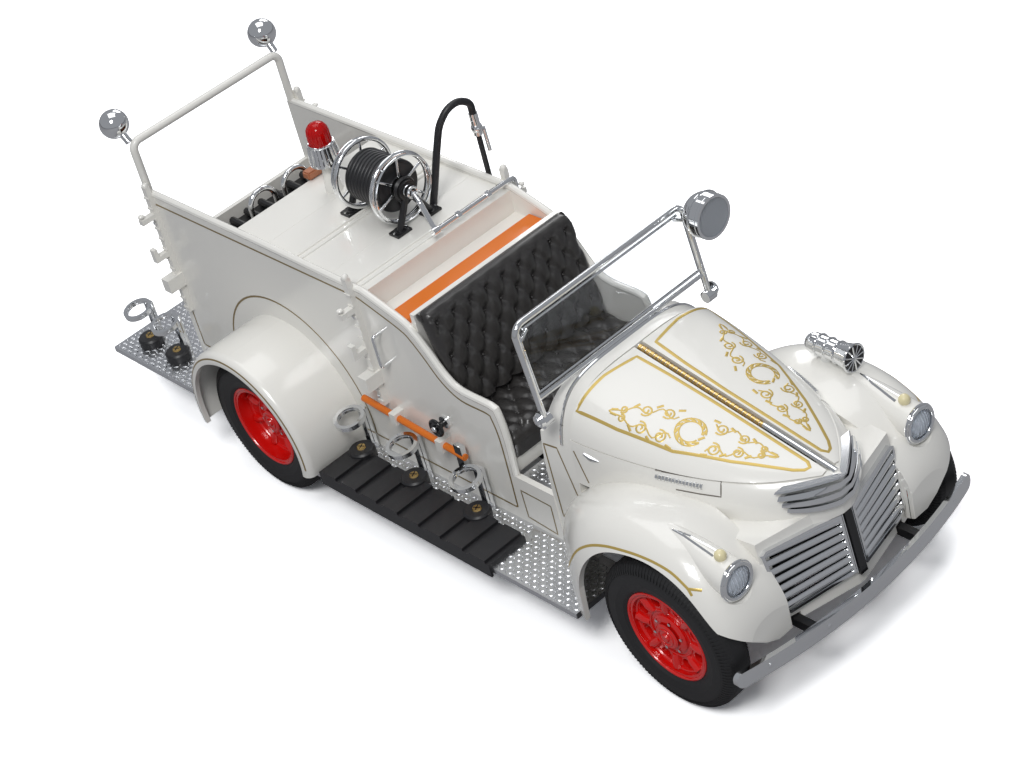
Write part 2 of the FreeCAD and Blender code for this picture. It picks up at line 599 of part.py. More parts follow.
# Rear fenders: half barrels with a lipped outer face over the twin wheels.
rear_radius = size("rear_fender_radius")
rear_out = size("rear_fender_half_width")
hub = Vector(REAR_X, 0, size("arch_height"))
barrel = Part.makeCylinder(rear_radius, rear_out - body_half, hub + Vector(0, body_half, 0), Vector(0, 1, 0))
outer_rim = [e for e in barrel.Edges if e.BoundBox.YMin > rear_out - 0.1 and len(e.Vertexes) == 1]
barrel = barrel.makeFillet(2.2, outer_rim)
hollow = Part.makeCylinder(rear_radius - skin, rear_out - body_half - skin, hub + Vector(0, body_half, 0), Vector(0, 1, 0))
opening = Part.makeCylinder(size("rear_fender_opening"), 10, hub + Vector(0, rear_out - 5, 0), Vector(0, 1, 0))
keep = Part.makeBox(80, 60, 60, Vector(REAR_X - 40, 0, size("board_height")))
rear_fender = barrel.cut(hollow).cut(opening).common(keep)
node(solid_feature("rear_fenders", Part.makeCompound([rear_fender, rear_fender.mirror(*mirror_y)])))

# Steps: two running boards and the tailboard, plated, with ribbed pads on the boards.
BOARD_LOW = "board_height - board_thickness"
BOARD_REAR = f"({REAR} + tyre_gap)"
steps = []
for side, sign in SIDES:
    width = "(board_half_width - body_half_width + wall)"
    steps.append(box(f"running_board_{side}", (f"{FRONT} - 26.3 - {BOARD_REAR}", width, "board_thickness"),
                     (BOARD_REAR, f"{sign} * (body_half_width - wall + {width} / 2) - {width} / 2", BOARD_LOW)))
    tail_width = "(tail_half_width - body_half_width + wall)"
    steps.append(box(f"tail_side_{side}", ("bed_rear - tyre_gap", tail_width, "board_thickness"),
                     (BED_REAR, f"{sign} * (body_half_width - wall + {tail_width} / 2) - {tail_width} / 2", BOARD_LOW)))
steps.append(box("tailboard", ("rear_reach - bed_rear", "2 * tail_half_width", "board_thickness"),
                 (f"{REAR} - rear_reach", "-tail_half_width", BOARD_LOW)))
node(fuse("step_plates", steps))


def tube(points, radius, bend=None):
    """A pipe of straight runs joined by tangent arcs, each of a given radius or else as large as its runs allow."""
    corners = [Vector(*p) for p in points]
    edges = []
    last = corners[0]
    for before, here, after in zip(corners, corners[1:], corners[2:]):
        one, two = (before - here).normalize(), (after - here).normalize()
        turn = math.pi - one.getAngle(two)
        shorter = min((before - here).Length, (after - here).Length)
        arc = bend or 0.45 * shorter / math.tan(turn / 2)
        back = arc * math.tan(turn / 2)
        middle = (one + two).normalize()
        apex = here + middle * (arc / math.cos(turn / 2) - arc)
        edges.append(Part.LineSegment(last, here + one * back).toShape())
        edges.append(Part.Arc(here + one * back, apex, here + two * back).toShape())
        last = here + two * back
    edges.append(Part.LineSegment(last, corners[-1]).toShape())
    path = Part.Wire(edges)
    profile = Part.Wire(Part.makeCircle(radius, corners[0], corners[1] - corners[0]))
    return path.makePipeShell([profile], True, True)


def between(start, end, radius):
    """A straight round bar from one point to another."""
    a, b = Vector(*start), Vector(*end)
    return Part.makeCylinder(radius, (b - a).Length, a, b - a)


def block(low, high):
    """A plain box between two corners."""
    a, b = Vector(*low), Vector(*high)
    return Part.makeBox(b.x - a.x, b.y - a.y, b.z - a.z, a)


def joined(pieces):
    """The union of a list of shapes."""
    return pieces[0].multiFuse(pieces[1:]).removeSplitter()


def both_sides(shape):
    """A shape and its mirror image across the centre plane."""
    return Part.makeCompound([shape, shape.mirror(*mirror_y)])


board_top = size("board_height")
deck_top = size("deck_height")
rail_top = size("rail_height")
sill = size("sill_height")
seat_front_x = FRONT_X - size("seat_box_front")
bulkhead_x = seat_front_x - 43.5
bed_rear_x = REAR_X - size("bed_rear")

# Ribbed pads on the running boards, wrapped over the outer edge.
pad_low = board_top + size("pad_thickness")
pad = [block((REAR_X + 24.3, 30.5, board_top), (FRONT_X - 55, size("board_half_width") + 0.7, pad_low)),
       block((REAR_X + 24.3, size("board_half_width"), board_top - 2.6), (FRONT_X - 55, size("board_half_width") + 0.7, pad_low))]
rib_count = 8
rib_pitch = (FRONT_X - 55 - REAR_X - 24.3) / rib_count
for index in range(rib_count):
    rib_x = REAR_X + 24.3 + rib_pitch * (index + 0.15)
    pad.append(block((rib_x, 30.5, pad_low), (rib_x + rib_pitch * 0.7, size("board_half_width") + 0.7, pad_low + 0.8)))
node(solid_feature("board_pads", both_sides(joined(pad))))

# Extinguisher holders: a round foot, a channel post and a ring, three on each board and two behind.
holders = []
for station, height in ((REAR_X + 28.4, 12.6), (REAR_X + 49.0, 12.6), (REAR_X + 72.5, 12.6),
                        (REAR_X - 52.5, 12.0), (REAR_X - 65.5, 12.0)):
    foot_z = board_top
    reach_y = 26.6 if station > bed_rear_x else 27.2
    holder = [Part.makeCylinder(3.2, 2.6, Vector(station, 31.0, foot_z), Vector(0, 0, 1)),
              block((station - 1.3, reach_y, foot_z), (station + 1.3, reach_y + 0.9, foot_z + height + 0.6)),
              block((station - 1.3, reach_y, foot_z), (station + 1.3, 29.0, foot_z + 1.2)),
              Part.makeTorus(3.6, 0.55, Vector(station, 31.6, foot_z + height), Vector(0, 0.15, 1))]
    holders.append(joined(holder))
pad_solid = joined(pad)
holders = [h.cut(pad_solid) for h in holders]
node(solid_feature("extinguisher_holders", Part.makeCompound(holders + [h.mirror(*mirror_y) for h in holders])))

# Seat: riser, back wall and parcel floor in one pressing, a wood slat, then the two pads.
seat_base = [block((seat_front_x - 19, -24, sill), (seat_front_x - 1.5, 24, sill + 3.8)),
             block((seat_front_x - 27.5, -24, sill), (seat_front_x - 26, 24, deck_top - 0.8)),
             block((bulkhead_x, -24, 59.0), (seat_front_x - 26, 24, 60.5))]
floor_plate = block((bulkhead_x, -24, sill - 1.5), (seat_front_x - 14, 24, sill))
node(solid_feature("seat_base", joined(seat_base + [floor_plate]).cut(
    block((seat_front_x - 14.5, -24, sill - 1.5), (seat_front_x, 24, sill)))))
node(solid_feature("seat_slat", block((seat_front_x - 37.5, -23.7, 60.5), (seat_front_x - 31.5, 23.7, 62.0))))


def seat_pad(corners, half_width):
    """A closed pad across the cab from its side outline."""
    return slab_between([(seat_front_x + x, z) for x, z in corners], half_width)


node(solid_feature("seat_back", seat_pad(((-25.7, 41.2), (-25.7, 66.6), (-23.5, 67.2), (-20.5, 65.4), (-15.2, 41.2)), 23.7)))
node(solid_feature("seat_cushion", seat_pad(((-25.2, 33.3), (-1.2, 33.3), (-0.4, 37.5), (-2.2, 40.9), (-25.2, 40.9)), 23.7)))

# Steering wheel on its column from the firewall.
wheel_y = 12.5
column_top = Vector(COWL_X - 2.5, wheel_y, 51.0)
column_foot = Vector(HOOD_X - wall - 0.6, wheel_y, 36.0)
column_way = (column_top - column_foot).normalize()
steering = [between(column_foot, column_top, 0.7), Part.makeTorus(6.3, 0.55, column_top, column_way),
            Part.makeCylinder(1.3, 0.9, column_top - column_way * 0.4, column_way)]
across = Vector(0, 1, 0)
upward = column_way.cross(across)
for spoke in range(3):
    angle = math.radians(90 + 120 * spoke)
    tip = column_top + (across * math.cos(angle) + upward * math.sin(angle)) * 6.2
    steering.append(between(column_top, tip, 0.4))
node(solid_feature("steering_wheel", joined(steering)))

# Windshield: a raked tube frame on two pivots, and its glass.
rake_base = Vector(COWL_X + 7.05, 0, size("windshield_base"))
rake_top = Vector(COWL_X + 3.9, 0, size("windshield_top"))
half_glass = size("windshield_half_width") - 0.4
bar_share = (61.2 - rake_base.z) / (rake_top.z - rake_base.z)
bar_point = rake_base + (rake_top - rake_base) * bar_share
screen = [tube([(rake_base.x, -half_glass, rake_base.z), (rake_top.x, -half_glass, rake_top.z),
                (rake_top.x, half_glass, rake_top.z), (rake_base.x, half_glass, rake_base.z)], 0.8, 3.0),
          between((bar_point.x, -half_glass, bar_point.z), (bar_point.x, half_glass, bar_point.z), 0.6)]
for sign in (1, -1):
    screen.append(between((rake_base.x, sign * (body_half + 0.02), rake_base.z), (rake_base.x, sign * (half_glass + 1.2), rake_base.z), 1.5))
frame_shape = joined(screen)
node(solid_feature("windshield_frame", frame_shape.cut(cowl)))
rake = math.degrees(math.atan2(rake_base.x - rake_top.x, rake_top.z - rake_base.z))
glass = Part.makeBox(0.5, 2 * half_glass, (rake_top - bar_point).Length, Vector(-0.25, -half_glass, 0))
glass.Placement = Placement(bar_point, Rotation(Vector(0, 1, 0), -rake))
pane = max(glass.cut(frame_shape).Solids, key=lambda solid: solid.Volume)
node(solid_feature("windshield_glass", pane))

# Searchlight on the left windshield post.
lamp_y = 27.5
lamp_x = COWL_X + 11.7
lamp_z = 79.0
searchlight = [Part.makeCylinder(5.4, 2.4, Vector(lamp_x - 0.6, lamp_y, lamp_z), Vector(1, 0, 0)),
               Part.makeSphere(5.4, Vector(lamp_x - 0.6, lamp_y, lamp_z)).common(
                   block((lamp_x - 4.6, lamp_y - 6, lamp_z - 6), (lamp_x - 0.6, lamp_y + 6, lamp_z + 6))),
               between((lamp_x - 3.5, lamp_y, lamp_z), (rake_top.x + 0.6, lamp_y, 75.5), 0.9)]
searchlight_shape = joined(searchlight).cut(Part.makeCylinder(4.7, 1.4, Vector(lamp_x + 0.6, lamp_y, lamp_z), Vector(1, 0, 0)))
node(solid_feature("searchlight", searchlight_shape.cut(frame_shape)))
searchlight_lens = Part.makeCylinder(4.7, 0.8, Vector(lamp_x + 0.6, lamp_y, lamp_z), Vector(1, 0, 0))

# Grille: two barred panels on the prow's faces, a centre bar, and three bars round the upper nose.
reach_x = FRONT_X + size("grille_reach")
along = Vector(-5.2, size("grille_half_width"), 0).normalize()
outward = Vector(along.y, -along.x, 0)
panel_start = Vector(reach_x, 1.0, 0)


def on_panel(u, z, lift):
    """A point on the left-hand grille face, u along it and lifted off it."""
    return panel_start + along * u + outward * lift + Vector(lean(z), 0, z)


def panel_plate(corners, lift, depth):
    """A plate on the grille face from its (u, z) corners."""
    points = [on_panel(u, z, lift) for u, z in corners]
    return Part.Face(Part.makePolygon(points + points[:1])).extrude(outward * depth)


low_z, high_z = size("grille_bottom"), size("grille_top")
outer_corners = ((0.6, low_z + 0.5), (18.2, low_z - 0.3), (19.8, low_z + 1.2), (21.2, high_z - 0.6),
                 (19.8, high_z + 0.4), (6.2, high_z - 0.2), (0.6, high_z - 0.9))
inner_corners = ((1.3, low_z + 1.2), (17.9, low_z + 0.4), (19.0, low_z + 1.6), (20.4, high_z - 1.0),
                 (19.5, high_z - 0.3), (6.3, high_z - 0.9), (1.3, high_z - 1.6))
grille = [panel_plate(outer_corners, 0, 1.0).cut(panel_plate(inner_corners, -0.5, 2.0))]
inner_room = panel_plate(inner_corners, 0.1, 1.3)
bar_count = 7
for index in range(bar_count):
    bar_start = on_panel(0.6, low_z + 2.2 + index * 2.08, 0.3)
    bar_stop = on_panel(21.0, low_z + 1.6 + index * 2.48, 0.3)
    grille.append(between(bar_start, bar_stop, 0.85).common(inner_room))
lower_grille = both_sides(joined(grille).cut(clip_solid).cut(fender))
bar_foot = [Vector(reach_x + lean(low_z - 0.6) + x, y, low_z - 0.6) for x, y in ((0, -1.1), (1.2, -1.1), (1.2, 1.1), (0, 1.1))]
bar_rise = Vector(lean(high_z + 1) - lean(low_z - 0.6), 0, high_z - low_z + 1.6)
centre_bar = Part.Face(Part.makePolygon(bar_foot + bar_foot[:1])).extrude(bar_rise).cut(clip_solid)
centre_bar = centre_bar.cut(both_sides(joined(grille)))
node(solid_feature("grille_centre_bar", centre_bar))
node(box("radiator", ("2", "32", "grille_top - grille_bottom - 2.5"), (f"{FRONT} + 13.4", "-16", "grille_bottom + 1")))
outset = 0.7
nose_skin = hood_loft(-outset).cut(hood_loft(0))
bars = []
for index, (rear_height, front_height) in enumerate(((0.85, 1.55), (0.85, 1.55), (0.85, 1.55), (0.35, 0.5))):
    rear_x = FRONT_X + 16.8 - 0.9 * index
    rear_low = 43.5 + 1.33 * index
    front_low = 40.6 + 2.4 * index
    bars.append(nose_skin.common(slab_between(((rear_x, rear_low), (FRONT_X + 25, front_low),
                                               (FRONT_X + 25, front_low + front_height), (rear_x, rear_low + rear_height)), 20)))
upper_grille = Part.makeCompound(bars).cut(clip_solid).cut(centre_bar).cut(hinge.fuse(strip))
node(solid_feature("grille", Part.makeCompound([lower_grille, upper_grille])))

# Bumper: a bowed bar held by the two brackets of the frame.
bow = size("bumper_bow")
half_bumper = size("bumper_half_width")
bow_radius = (half_bumper ** 2 + bow ** 2) / (2 * bow)
front_x = FRONT_X + size("front_reach")
bow_centre = Vector(front_x - bow_radius, 0, size("bumper_height") - size("bumper_depth") / 2)
bumper = Part.makeCylinder(bow_radius, size("bumper_depth"), bow_centre).cut(
    Part.makeCylinder(bow_radius - size("bumper_thickness"), size("bumper_depth"), bow_centre))
bumper = bumper.common(block((front_x - 20, -half_bumper, 0), (front_x + 1, half_bumper, 40)))
end_edges = [e for e in bumper.Edges if abs(abs(e.CenterOfMass.y) - half_bumper) < 0.2 and e.Length < 2]
bumper = bumper.makeFillet(1.9, end_edges)
node(solid_feature("bumper", bumper))

# Lamps on the front fenders and the siren on the left one.
lamp_front = FRONT_X + 17.4
pod_y = 30.2
head_z = 38.5
node(solid_feature("headlight_rings", both_sides(Part.makeTorus(4.05, 0.5, Vector(lamp_front + 0.5, pod_y, head_z), Vector(1, 0, 0)))))
cap = Part.makeSphere(5.2, Vector(lamp_front - 3.75, pod_y, head_z)).common(
    block((lamp_front + 0.05, pod_y - 6, head_z - 6), (lamp_front + 6, pod_y + 6, head_z + 6)))
node(solid_feature("lamp_lenses", Part.makeCompound([both_sides(cap), searchlight_lens])))
marker = Part.makeSphere(1.4, Vector(FRONT_X + 14.1, pod_y, 43.9)).cut(fender)
node(solid_feature("marker_lamps", both_sides(marker)))
siren_z = 49.4
siren = [Part.makeCylinder(2.5, 7.5, Vector(FRONT_X - 11.5, 31, siren_z), Vector(1, 0, 0)),
         Part.makeSphere(2.5, Vector(FRONT_X - 11.5, 31, siren_z)),
         Part.makeCone(2.6, 3.4, 4.0, Vector(FRONT_X - 4, 31, siren_z), Vector(1, 0, 0)),
         Part.makeCylinder(1.6, 4.0, Vector(FRONT_X - 8.5, 31, siren_z - 4.2), Vector(0, 0, 1))]
node(solid_feature("siren", joined(siren).cut(fender)))

# Hose reel: two spoked hoops on A-frame stands, the drum core, and the wound hose between them.
reel_y = 2.4
reel_z = deck_top + 9.6
reel_back = bulkhead_x - 28.0
reel_front = bulkhead_x - 14.0
hoop_radius = 8.7


def reel_hoop(x):
    """One chrome hoop with six spokes round the hub."""
    pieces = [Part.makeTorus(hoop_radius, 0.6, Vector(x, reel_y, reel_z), Vector(1, 0, 0))]
    for spoke in range(6):
        angle = math.radians(60 * spoke + 20)
        way = Vector(0, math.cos(angle), math.sin(angle))
        pieces.append(between(Vector(x, reel_y, reel_z) + way * 2.2, Vector(x, reel_y, reel_z) + way * hoop_radius, 0.35))
    ring_hub = Part.makeCylinder(3.0, 0.8, Vector(x - 0.4, reel_y, reel_z), Vector(1, 0, 0))
    return joined(pieces + [ring_hub]).cut(Part.makeCylinder(1.6, 4, Vector(x - 2, reel_y, reel_z), Vector(1, 0, 0)))


node(solid_feature("reel_hoops", Part.makeCompound([reel_hoop(reel_back), reel_hoop(reel_front)])))
core = [Part.makeCylinder(1.6, reel_front - reel_back + 7.4, Vector(reel_back - 3.2, reel_y, reel_z), Vector(1, 0, 0))]
for x in (reel_back - 2.6, reel_front + 2.6):
    for foot_y in (-5.0, 5.0):
        core.append(between((x, reel_y, reel_z), (x, reel_y + foot_y, deck_top + 0.6), 0.9))
        core.append(Part.makeCylinder(1.7, 0.9, Vector(x, reel_y + foot_y, deck_top), Vector(0, 0, 1)))
    core.append(Part.makeCylinder(2.6, 1.6, Vector(x - 0.8, reel_y, reel_z), Vector(1, 0, 0)))
node(solid_feature("reel_stand", joined(core)))
turns = []
turn_count = 10
turn_pitch = (reel_front - reel_back - 1.6) / turn_count
for index in range(turn_count):
    turns.append(Part.makeTorus(6.1, turn_pitch / 2 * 1.04, Vector(reel_back + 0.8 + turn_pitch * (index + 0.5), reel_y, reel_z), Vector(1, 0, 0)))
drum = Part.makeCylinder(6.0, reel_front - reel_back - 1.2, Vector(reel_back + 0.6, reel_y, reel_z), Vector(1, 0, 0))
wound = joined(turns + [drum]).cut(Part.makeCylinder(1.6, 20, Vector(reel_back, reel_y, reel_z), Vector(1, 0, 0)))
node(solid_feature("wound_hose", wound))

# Hose lead in a standing arch to its nozzle, and the chrome feed pipe along the deck.
rod_x = reel_front + 4.0
rod_y = body_half + 0.85
lead_path = [(reel_front + x, y, z) for x, y, z in ((0.7, 9.6, deck_top - 1), (1.1, 11.9, 72.0), (1.6, 14.4, 79.5),
                                                     (2.2, 16.9, 86.4), (2.9, 20.0, 89.6), (3.5, 23.4, 90.2))]
lead_path += [(rod_x, rod_y, 88.2), (rod_x, rod_y, 85.2)]
lead = tube(lead_path, 0.95)
lead = lead.cut(block((bulkhead_x - 60, -24, 50), (bulkhead_x, 24, deck_top)))
holder_rod = joined([between((rod_x, rod_y, 58.0), (rod_x, rod_y, 79.0), 0.7),
                     block((rod_x - 0.7, body_half, 61.0), (rod_x + 0.7, rod_y, 62.2))])
node(solid_feature("hose_lead", Part.makeCompound([lead, holder_rod])))
nozzle = joined([between((rod_x, rod_y, 79.0), (rod_x, rod_y, 85.2), 1.15),
                 Part.makeSphere(1.5, Vector(rod_x, rod_y, 81.0)),
                 between((rod_x + 0.2, rod_y, 80.6), (rod_x + 0.4, rod_y + 1.7, 80.0), 0.55),
                 between((rod_x + 0.4, rod_y + 1.7, 80.3), (rod_x + 0.4, rod_y + 1.9, 73.4), 0.5)])
node(solid_feature("nozzle", nozzle.cut(lead).cut(holder_rod)))
pipe_x = bulkhead_x - 0.9
pipe_z = rail_top + 0.9
feed = tube([(reel_front + 4.6, reel_y, reel_z), (reel_front + 8.6, reel_y - 1.2, reel_z - 1.0), (pipe_x, reel_y - 2.0, pipe_z),
             (pipe_x, body_half + 1.4, pipe_z), (pipe_x, body_half + 1.4, pipe_z - 4.5)], 0.7, 1.3)
node(solid_feature("feed_pipe", feed))

# Beacon: white post, chrome flared base and the red dome.
beacon_x = bulkhead_x - 43.5
beacon_y = 2.4
node(solid_feature("beacon_post", Part.makeCone(2.4, 1.6, 8.5, Vector(beacon_x, beacon_y, deck_top))))
node(solid_feature("beacon_base", Part.makeCone(4.2, 3.4, 5.4, Vector(beacon_x, beacon_y, deck_top + 8.5))))
dome = joined([Part.makeCylinder(2.9, 3.0, Vector(beacon_x, beacon_y, deck_top + 13.9)),
               Part.makeSphere(2.9, Vector(beacon_x, beacon_y, deck_top + 16.9))])
node(solid_feature("beacon_dome", dome.common(block((beacon_x - 5, beacon_y - 5, deck_top + 13.9), (beacon_x + 5, beacon_y + 5, deck_top + 30)))))

# Rear hoop over the bed with a chrome ball lamp beyond each corner.
post_y = body_half - wall / 2
hoop_x = bed_rear_x + 1.3
hoop_top = 82.9
rear_hoop = tube([(hoop_x, -post_y, rail_top), (hoop_x, -post_y, hoop_top), (hoop_x, post_y, hoop_top), (hoop_x, post_y, rail_top)], 1.1, 2.4)
node(solid_feature("rear_hoop", rear_hoop))
ball_lamps = []
for side, sign in SIDES:
    arm_foot = Vector(hoop_x, sign * post_y, hoop_top - 0.8)
    ball_centre = Vector(hoop_x - 4.9, sign * (post_y + 0.4), hoop_top + 4.8)
    arm_way = (ball_centre - arm_foot).normalize()
    ball_lamps.append(joined([Part.makeSphere(3.9, ball_centre, arm_way), between(arm_foot + arm_way * 1.3, ball_centre, 1.0)]))
node(solid_feature("ball_lamps", Part.makeCompound(ball_lamps)))

# Ladder brackets on the body sides, and the clips of the axe.
brackets = []
for post_x, low in ((bed_rear_x + 3.0, 31.0), (bulkhead_x - 3.4, 33.0)):
    face = body_half
    post = [block((post_x - 0.9, face, low), (post_x + 0.9, face + 1.5, rail_top + 3)),
            block((post_x - 0.9, face, rail_top - 6.5), (post_x + 0.9, face + 5.5, rail_top - 5.0)),
            block((post_x - 0.9, face, rail_top - 18.5), (post_x + 0.9, face + 5.5, rail_top - 17.0)),
            block((post_x - 0.9, face + 4.3, rail_top - 18.5), (post_x + 0.9, face + 5.5, rail_top - 14.5)),
            block((post_x - 1.6, face, rail_top - 28.5), (post_x + 1.6, face + 5.0, rail_top - 24.5))]
    brackets.append(joined(post))
brackets += [bracket.mirror(*mirror_y) for bracket in brackets]

# Fire axe on the right side: handle, head and the two clips that hold it.
axe_y = -body_half - 1.9
axe_rear = Vector(seat_front_x - 54.0, axe_y, 32.6)
axe_front = Vector(seat_front_x - 16.5, axe_y, 29.6)
handle = between(axe_rear, axe_front, 0.9)
node(solid_feature("axe_handle", handle))
axe_way = (axe_front - axe_rear).normalize()
head_at = axe_front - axe_way * 1.5
axe_head = block((head_at.x - 1.3, axe_y - 0.7, head_at.z - 4.2), (head_at.x + 1.3, axe_y + 0.7, head_at.z + 3.2)).cut(handle)
node(solid_feature("axe_head", axe_head))
for share in (0.33, 0.78):
    spot = axe_rear + (axe_front - axe_rear) * share
    brackets.append(block((spot.x - 1.1, -body_half - 3.2, spot.z - 1.6), (spot.x + 1.1, -body_half, spot.z + 1.6)).cut(handle))
node(solid_feature("rack_brackets", Part.makeCompound(brackets)))

# Valves on the body sides, the grab handles and the chrome hoops in the hose bed.
valve_x = seat_front_x - 23.5
valve = joined([Part.makeCylinder(0.9, 3.6, Vector(valve_x, body_half, 36.5), Vector(0, 1, 0)),
                Part.makeTorus(2.0, 0.5, Vector(valve_x, body_half + 3.0, 36.5), Vector(0, 1, 0)),
                Part.makeCylinder(2.0, 0.6, Vector(valve_x, body_half + 2.7, 36.5), Vector(0, 1, 0))])
node(solid_feature("side_valves", both_sides(valve)))
handle_x = seat_front_x - 40.0
grab = tube([(handle_x, body_half, 57.0), (handle_x, body_half + 2.6, 57.0), (handle_x, body_half + 2.6, 48.0), (handle_x, body_half, 48.0)], 0.5, 0.9)
node(solid_feature("grab_handles", both_sides(grab)))
bed_floor_top = size("bed_floor_height")
bed_hoops = []
for x, y in ((bed_rear_x + 33.0, -15.0), (bed_rear_x + 33.0, -4.0), (bed_rear_x + 33.0, 7.0)):
    bed_hoops.append(tube([(x, y, bed_floor_top), (x, y, 70.0), (x, y + 8.0, 70.0), (x, y + 8.0, bed_floor_top)], 0.7, 3.8))
node(solid_feature("bed_hoops", Part.makeCompound(bed_hoops)))

# Every object has to be sound before anything is written.
doc.recompute()
for obj in doc.Objects:
    if "Invalid" in obj.State or "Error" in obj.State:
        raise RuntimeError(f"{obj.Label} failed: {obj.State}")
os.makedirs("parts", exist_ok=True)
for piece in nodes:
    shape = piece.Shape
    if shape.isNull() or not shape.isValid():
        raise RuntimeError(f"{piece.Label} has no sound shape")
    shape.exportStep(f"parts/{piece.Label}.step")
    print(piece.Label, len(shape.Solids), round(shape.Volume, 1))
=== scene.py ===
import json
import math

import bmesh
import bpy
from mathutils import Matrix, Vector
from mathutils.bvhtree import BVHTree


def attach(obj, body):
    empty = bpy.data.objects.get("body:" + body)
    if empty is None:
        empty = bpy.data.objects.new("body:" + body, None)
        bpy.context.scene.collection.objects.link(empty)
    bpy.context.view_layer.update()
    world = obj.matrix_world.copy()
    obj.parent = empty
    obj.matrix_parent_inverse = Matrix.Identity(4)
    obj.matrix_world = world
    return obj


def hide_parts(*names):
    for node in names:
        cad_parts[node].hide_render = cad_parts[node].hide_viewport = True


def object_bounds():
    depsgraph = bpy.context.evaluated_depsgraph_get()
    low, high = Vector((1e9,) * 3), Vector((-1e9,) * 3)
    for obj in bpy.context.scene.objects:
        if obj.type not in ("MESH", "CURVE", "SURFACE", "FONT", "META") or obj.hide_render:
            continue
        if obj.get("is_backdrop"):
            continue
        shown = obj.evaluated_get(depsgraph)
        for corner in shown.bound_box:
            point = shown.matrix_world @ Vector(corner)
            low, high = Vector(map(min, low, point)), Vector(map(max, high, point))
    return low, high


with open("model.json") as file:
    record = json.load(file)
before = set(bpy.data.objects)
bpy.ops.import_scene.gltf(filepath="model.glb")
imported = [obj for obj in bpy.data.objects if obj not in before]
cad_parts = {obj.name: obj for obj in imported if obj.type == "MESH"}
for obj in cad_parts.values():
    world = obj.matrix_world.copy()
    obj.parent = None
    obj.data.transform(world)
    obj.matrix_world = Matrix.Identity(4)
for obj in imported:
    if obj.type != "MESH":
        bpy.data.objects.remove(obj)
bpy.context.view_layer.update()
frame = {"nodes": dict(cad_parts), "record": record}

MM = 0.001
scene = bpy.context.scene
nodes = frame["nodes"]
SIDES = (("left", 1), ("right", -1))
FRONT_X, REAR_X, HUB_Z = 95.5, -48.0, 19.4
BOARD_TOP = 15.2
DECK_TOP = 66.8
LAMP_Y, LAMP_Z = 27.5, 79.0
HEAD_Y, HEAD_Z = 30.2, 38.5
SIREN_Y, SIREN_Z = 31.0, 49.4
BEAD_Y, RAIL_TOP = 24.8, 68.0


# Materials: every one is procedural.
def material(name, colour, rough=0.3, metal=0.0, coat=0.0, **more):
    """A principled material with its plain values."""
    m = bpy.data.materials.new(name)
    m.use_nodes = True
    shader = m.node_tree.nodes["Principled BSDF"]
    shader.inputs["Base Color"].default_value = (*colour, 1)
    shader.inputs["Roughness"].default_value = rough
    shader.inputs["Metallic"].default_value = metal
    shader.inputs["Coat Weight"].default_value = coat
    shader.inputs["Coat Roughness"].default_value = 0.04
    for key, value in more.items():
        shader.inputs[key.replace("_", " ")].default_value = value
    return m


def texture(m, kind, scale, **more):
    """A procedural texture on object coordinates."""
    tree = m.node_tree
    coords = tree.nodes.new("ShaderNodeTexCoord")
    node = tree.nodes.new(kind)
    node.inputs["Scale"].default_value = scale
    for key, value in more.items():
        node.inputs[key].default_value = value
    tree.links.new(coords.outputs["Object"], node.inputs["Vector"])
    return node


def bump(m, height, strength, distance):
    """Raises a material's surface from a height socket."""
    tree = m.node_tree
    node = tree.nodes.new("ShaderNodeBump")
    node.inputs["Strength"].default_value = strength
    node.inputs["Distance"].default_value = distance
    tree.links.new(height, node.inputs["Height"])
    tree.links.new(node.outputs["Normal"], tree.nodes["Principled BSDF"].inputs["Normal"])


WHITE = material("white_paint", (0.86, 0.845, 0.795), 0.24, coat=0.6)
CHROME = material("chrome", (0.84, 0.85, 0.86), 0.07, 1.0)
BLACK = material("black_paint", (0.012, 0.012, 0.013), 0.35)
GREY = material("engine_grey", (0.05, 0.05, 0.055), 0.5)
TYRE = material("tyre_rubber", (0.013, 0.013, 0.014), 0.55)
RED = material("red_paint", (0.70, 0.006, 0.004), 0.22, coat=0.6)
PLATE = material("tread_plate", (0.74, 0.75, 0.77), 0.27, 1.0)
RUBBER = material("black_rubber", (0.016, 0.016, 0.018), 0.4)
GLOSS = material("gloss_black", (0.008, 0.008, 0.009), 0.12)
SEAT = material("black_leather", (0.030, 0.028, 0.027), 0.34, coat=0.2)
WOOD = material("varnished_wood", (0.74, 0.17, 0.006), 0.34, coat=0.15)
GLASS = material("clear_glass", (0.78, 0.80, 0.82), 0.02, Transmission_Weight=1.0, IOR=1.3)
LENS = material("lamp_lens", (0.72, 0.76, 0.82), 0.12, Transmission_Weight=0.55, IOR=1.4)
CREAM = material("cream_lamp", (0.80, 0.72, 0.44), 0.3, coat=0.3)
RUBY = material("ruby_lamp", (0.62, 0.004, 0.004), 0.08, Transmission_Weight=0.25, IOR=1.4)
GOLD = material("gold_line", (0.62, 0.45, 0.13), 0.3, 0.45)
BRONZE = material("bronze_line", (0.30, 0.22, 0.10), 0.35, 0.4)
SEAM = material("seam_shadow", (0.16, 0.14, 0.12), 0.6)
BRASS = material("brass", (0.72, 0.50, 0.20), 0.25, 1.0)
ORANGE = material("orange_trim", (0.72, 0.16, 0.03), 0.35, coat=0.2)
CLAY = material("terracotta", (0.42, 0.16, 0.08), 0.5)

grain = texture(SEAT, "ShaderNodeTexNoise", 2600.0, Detail=3.0)
bump(SEAT, grain.outputs["Fac"], 0.25, 0.00006)
skin_grain = texture(TYRE, "ShaderNodeTexNoise", 1800.0, Detail=2.0)
bump(TYRE, skin_grain.outputs["Fac"], 0.12, 0.00004)

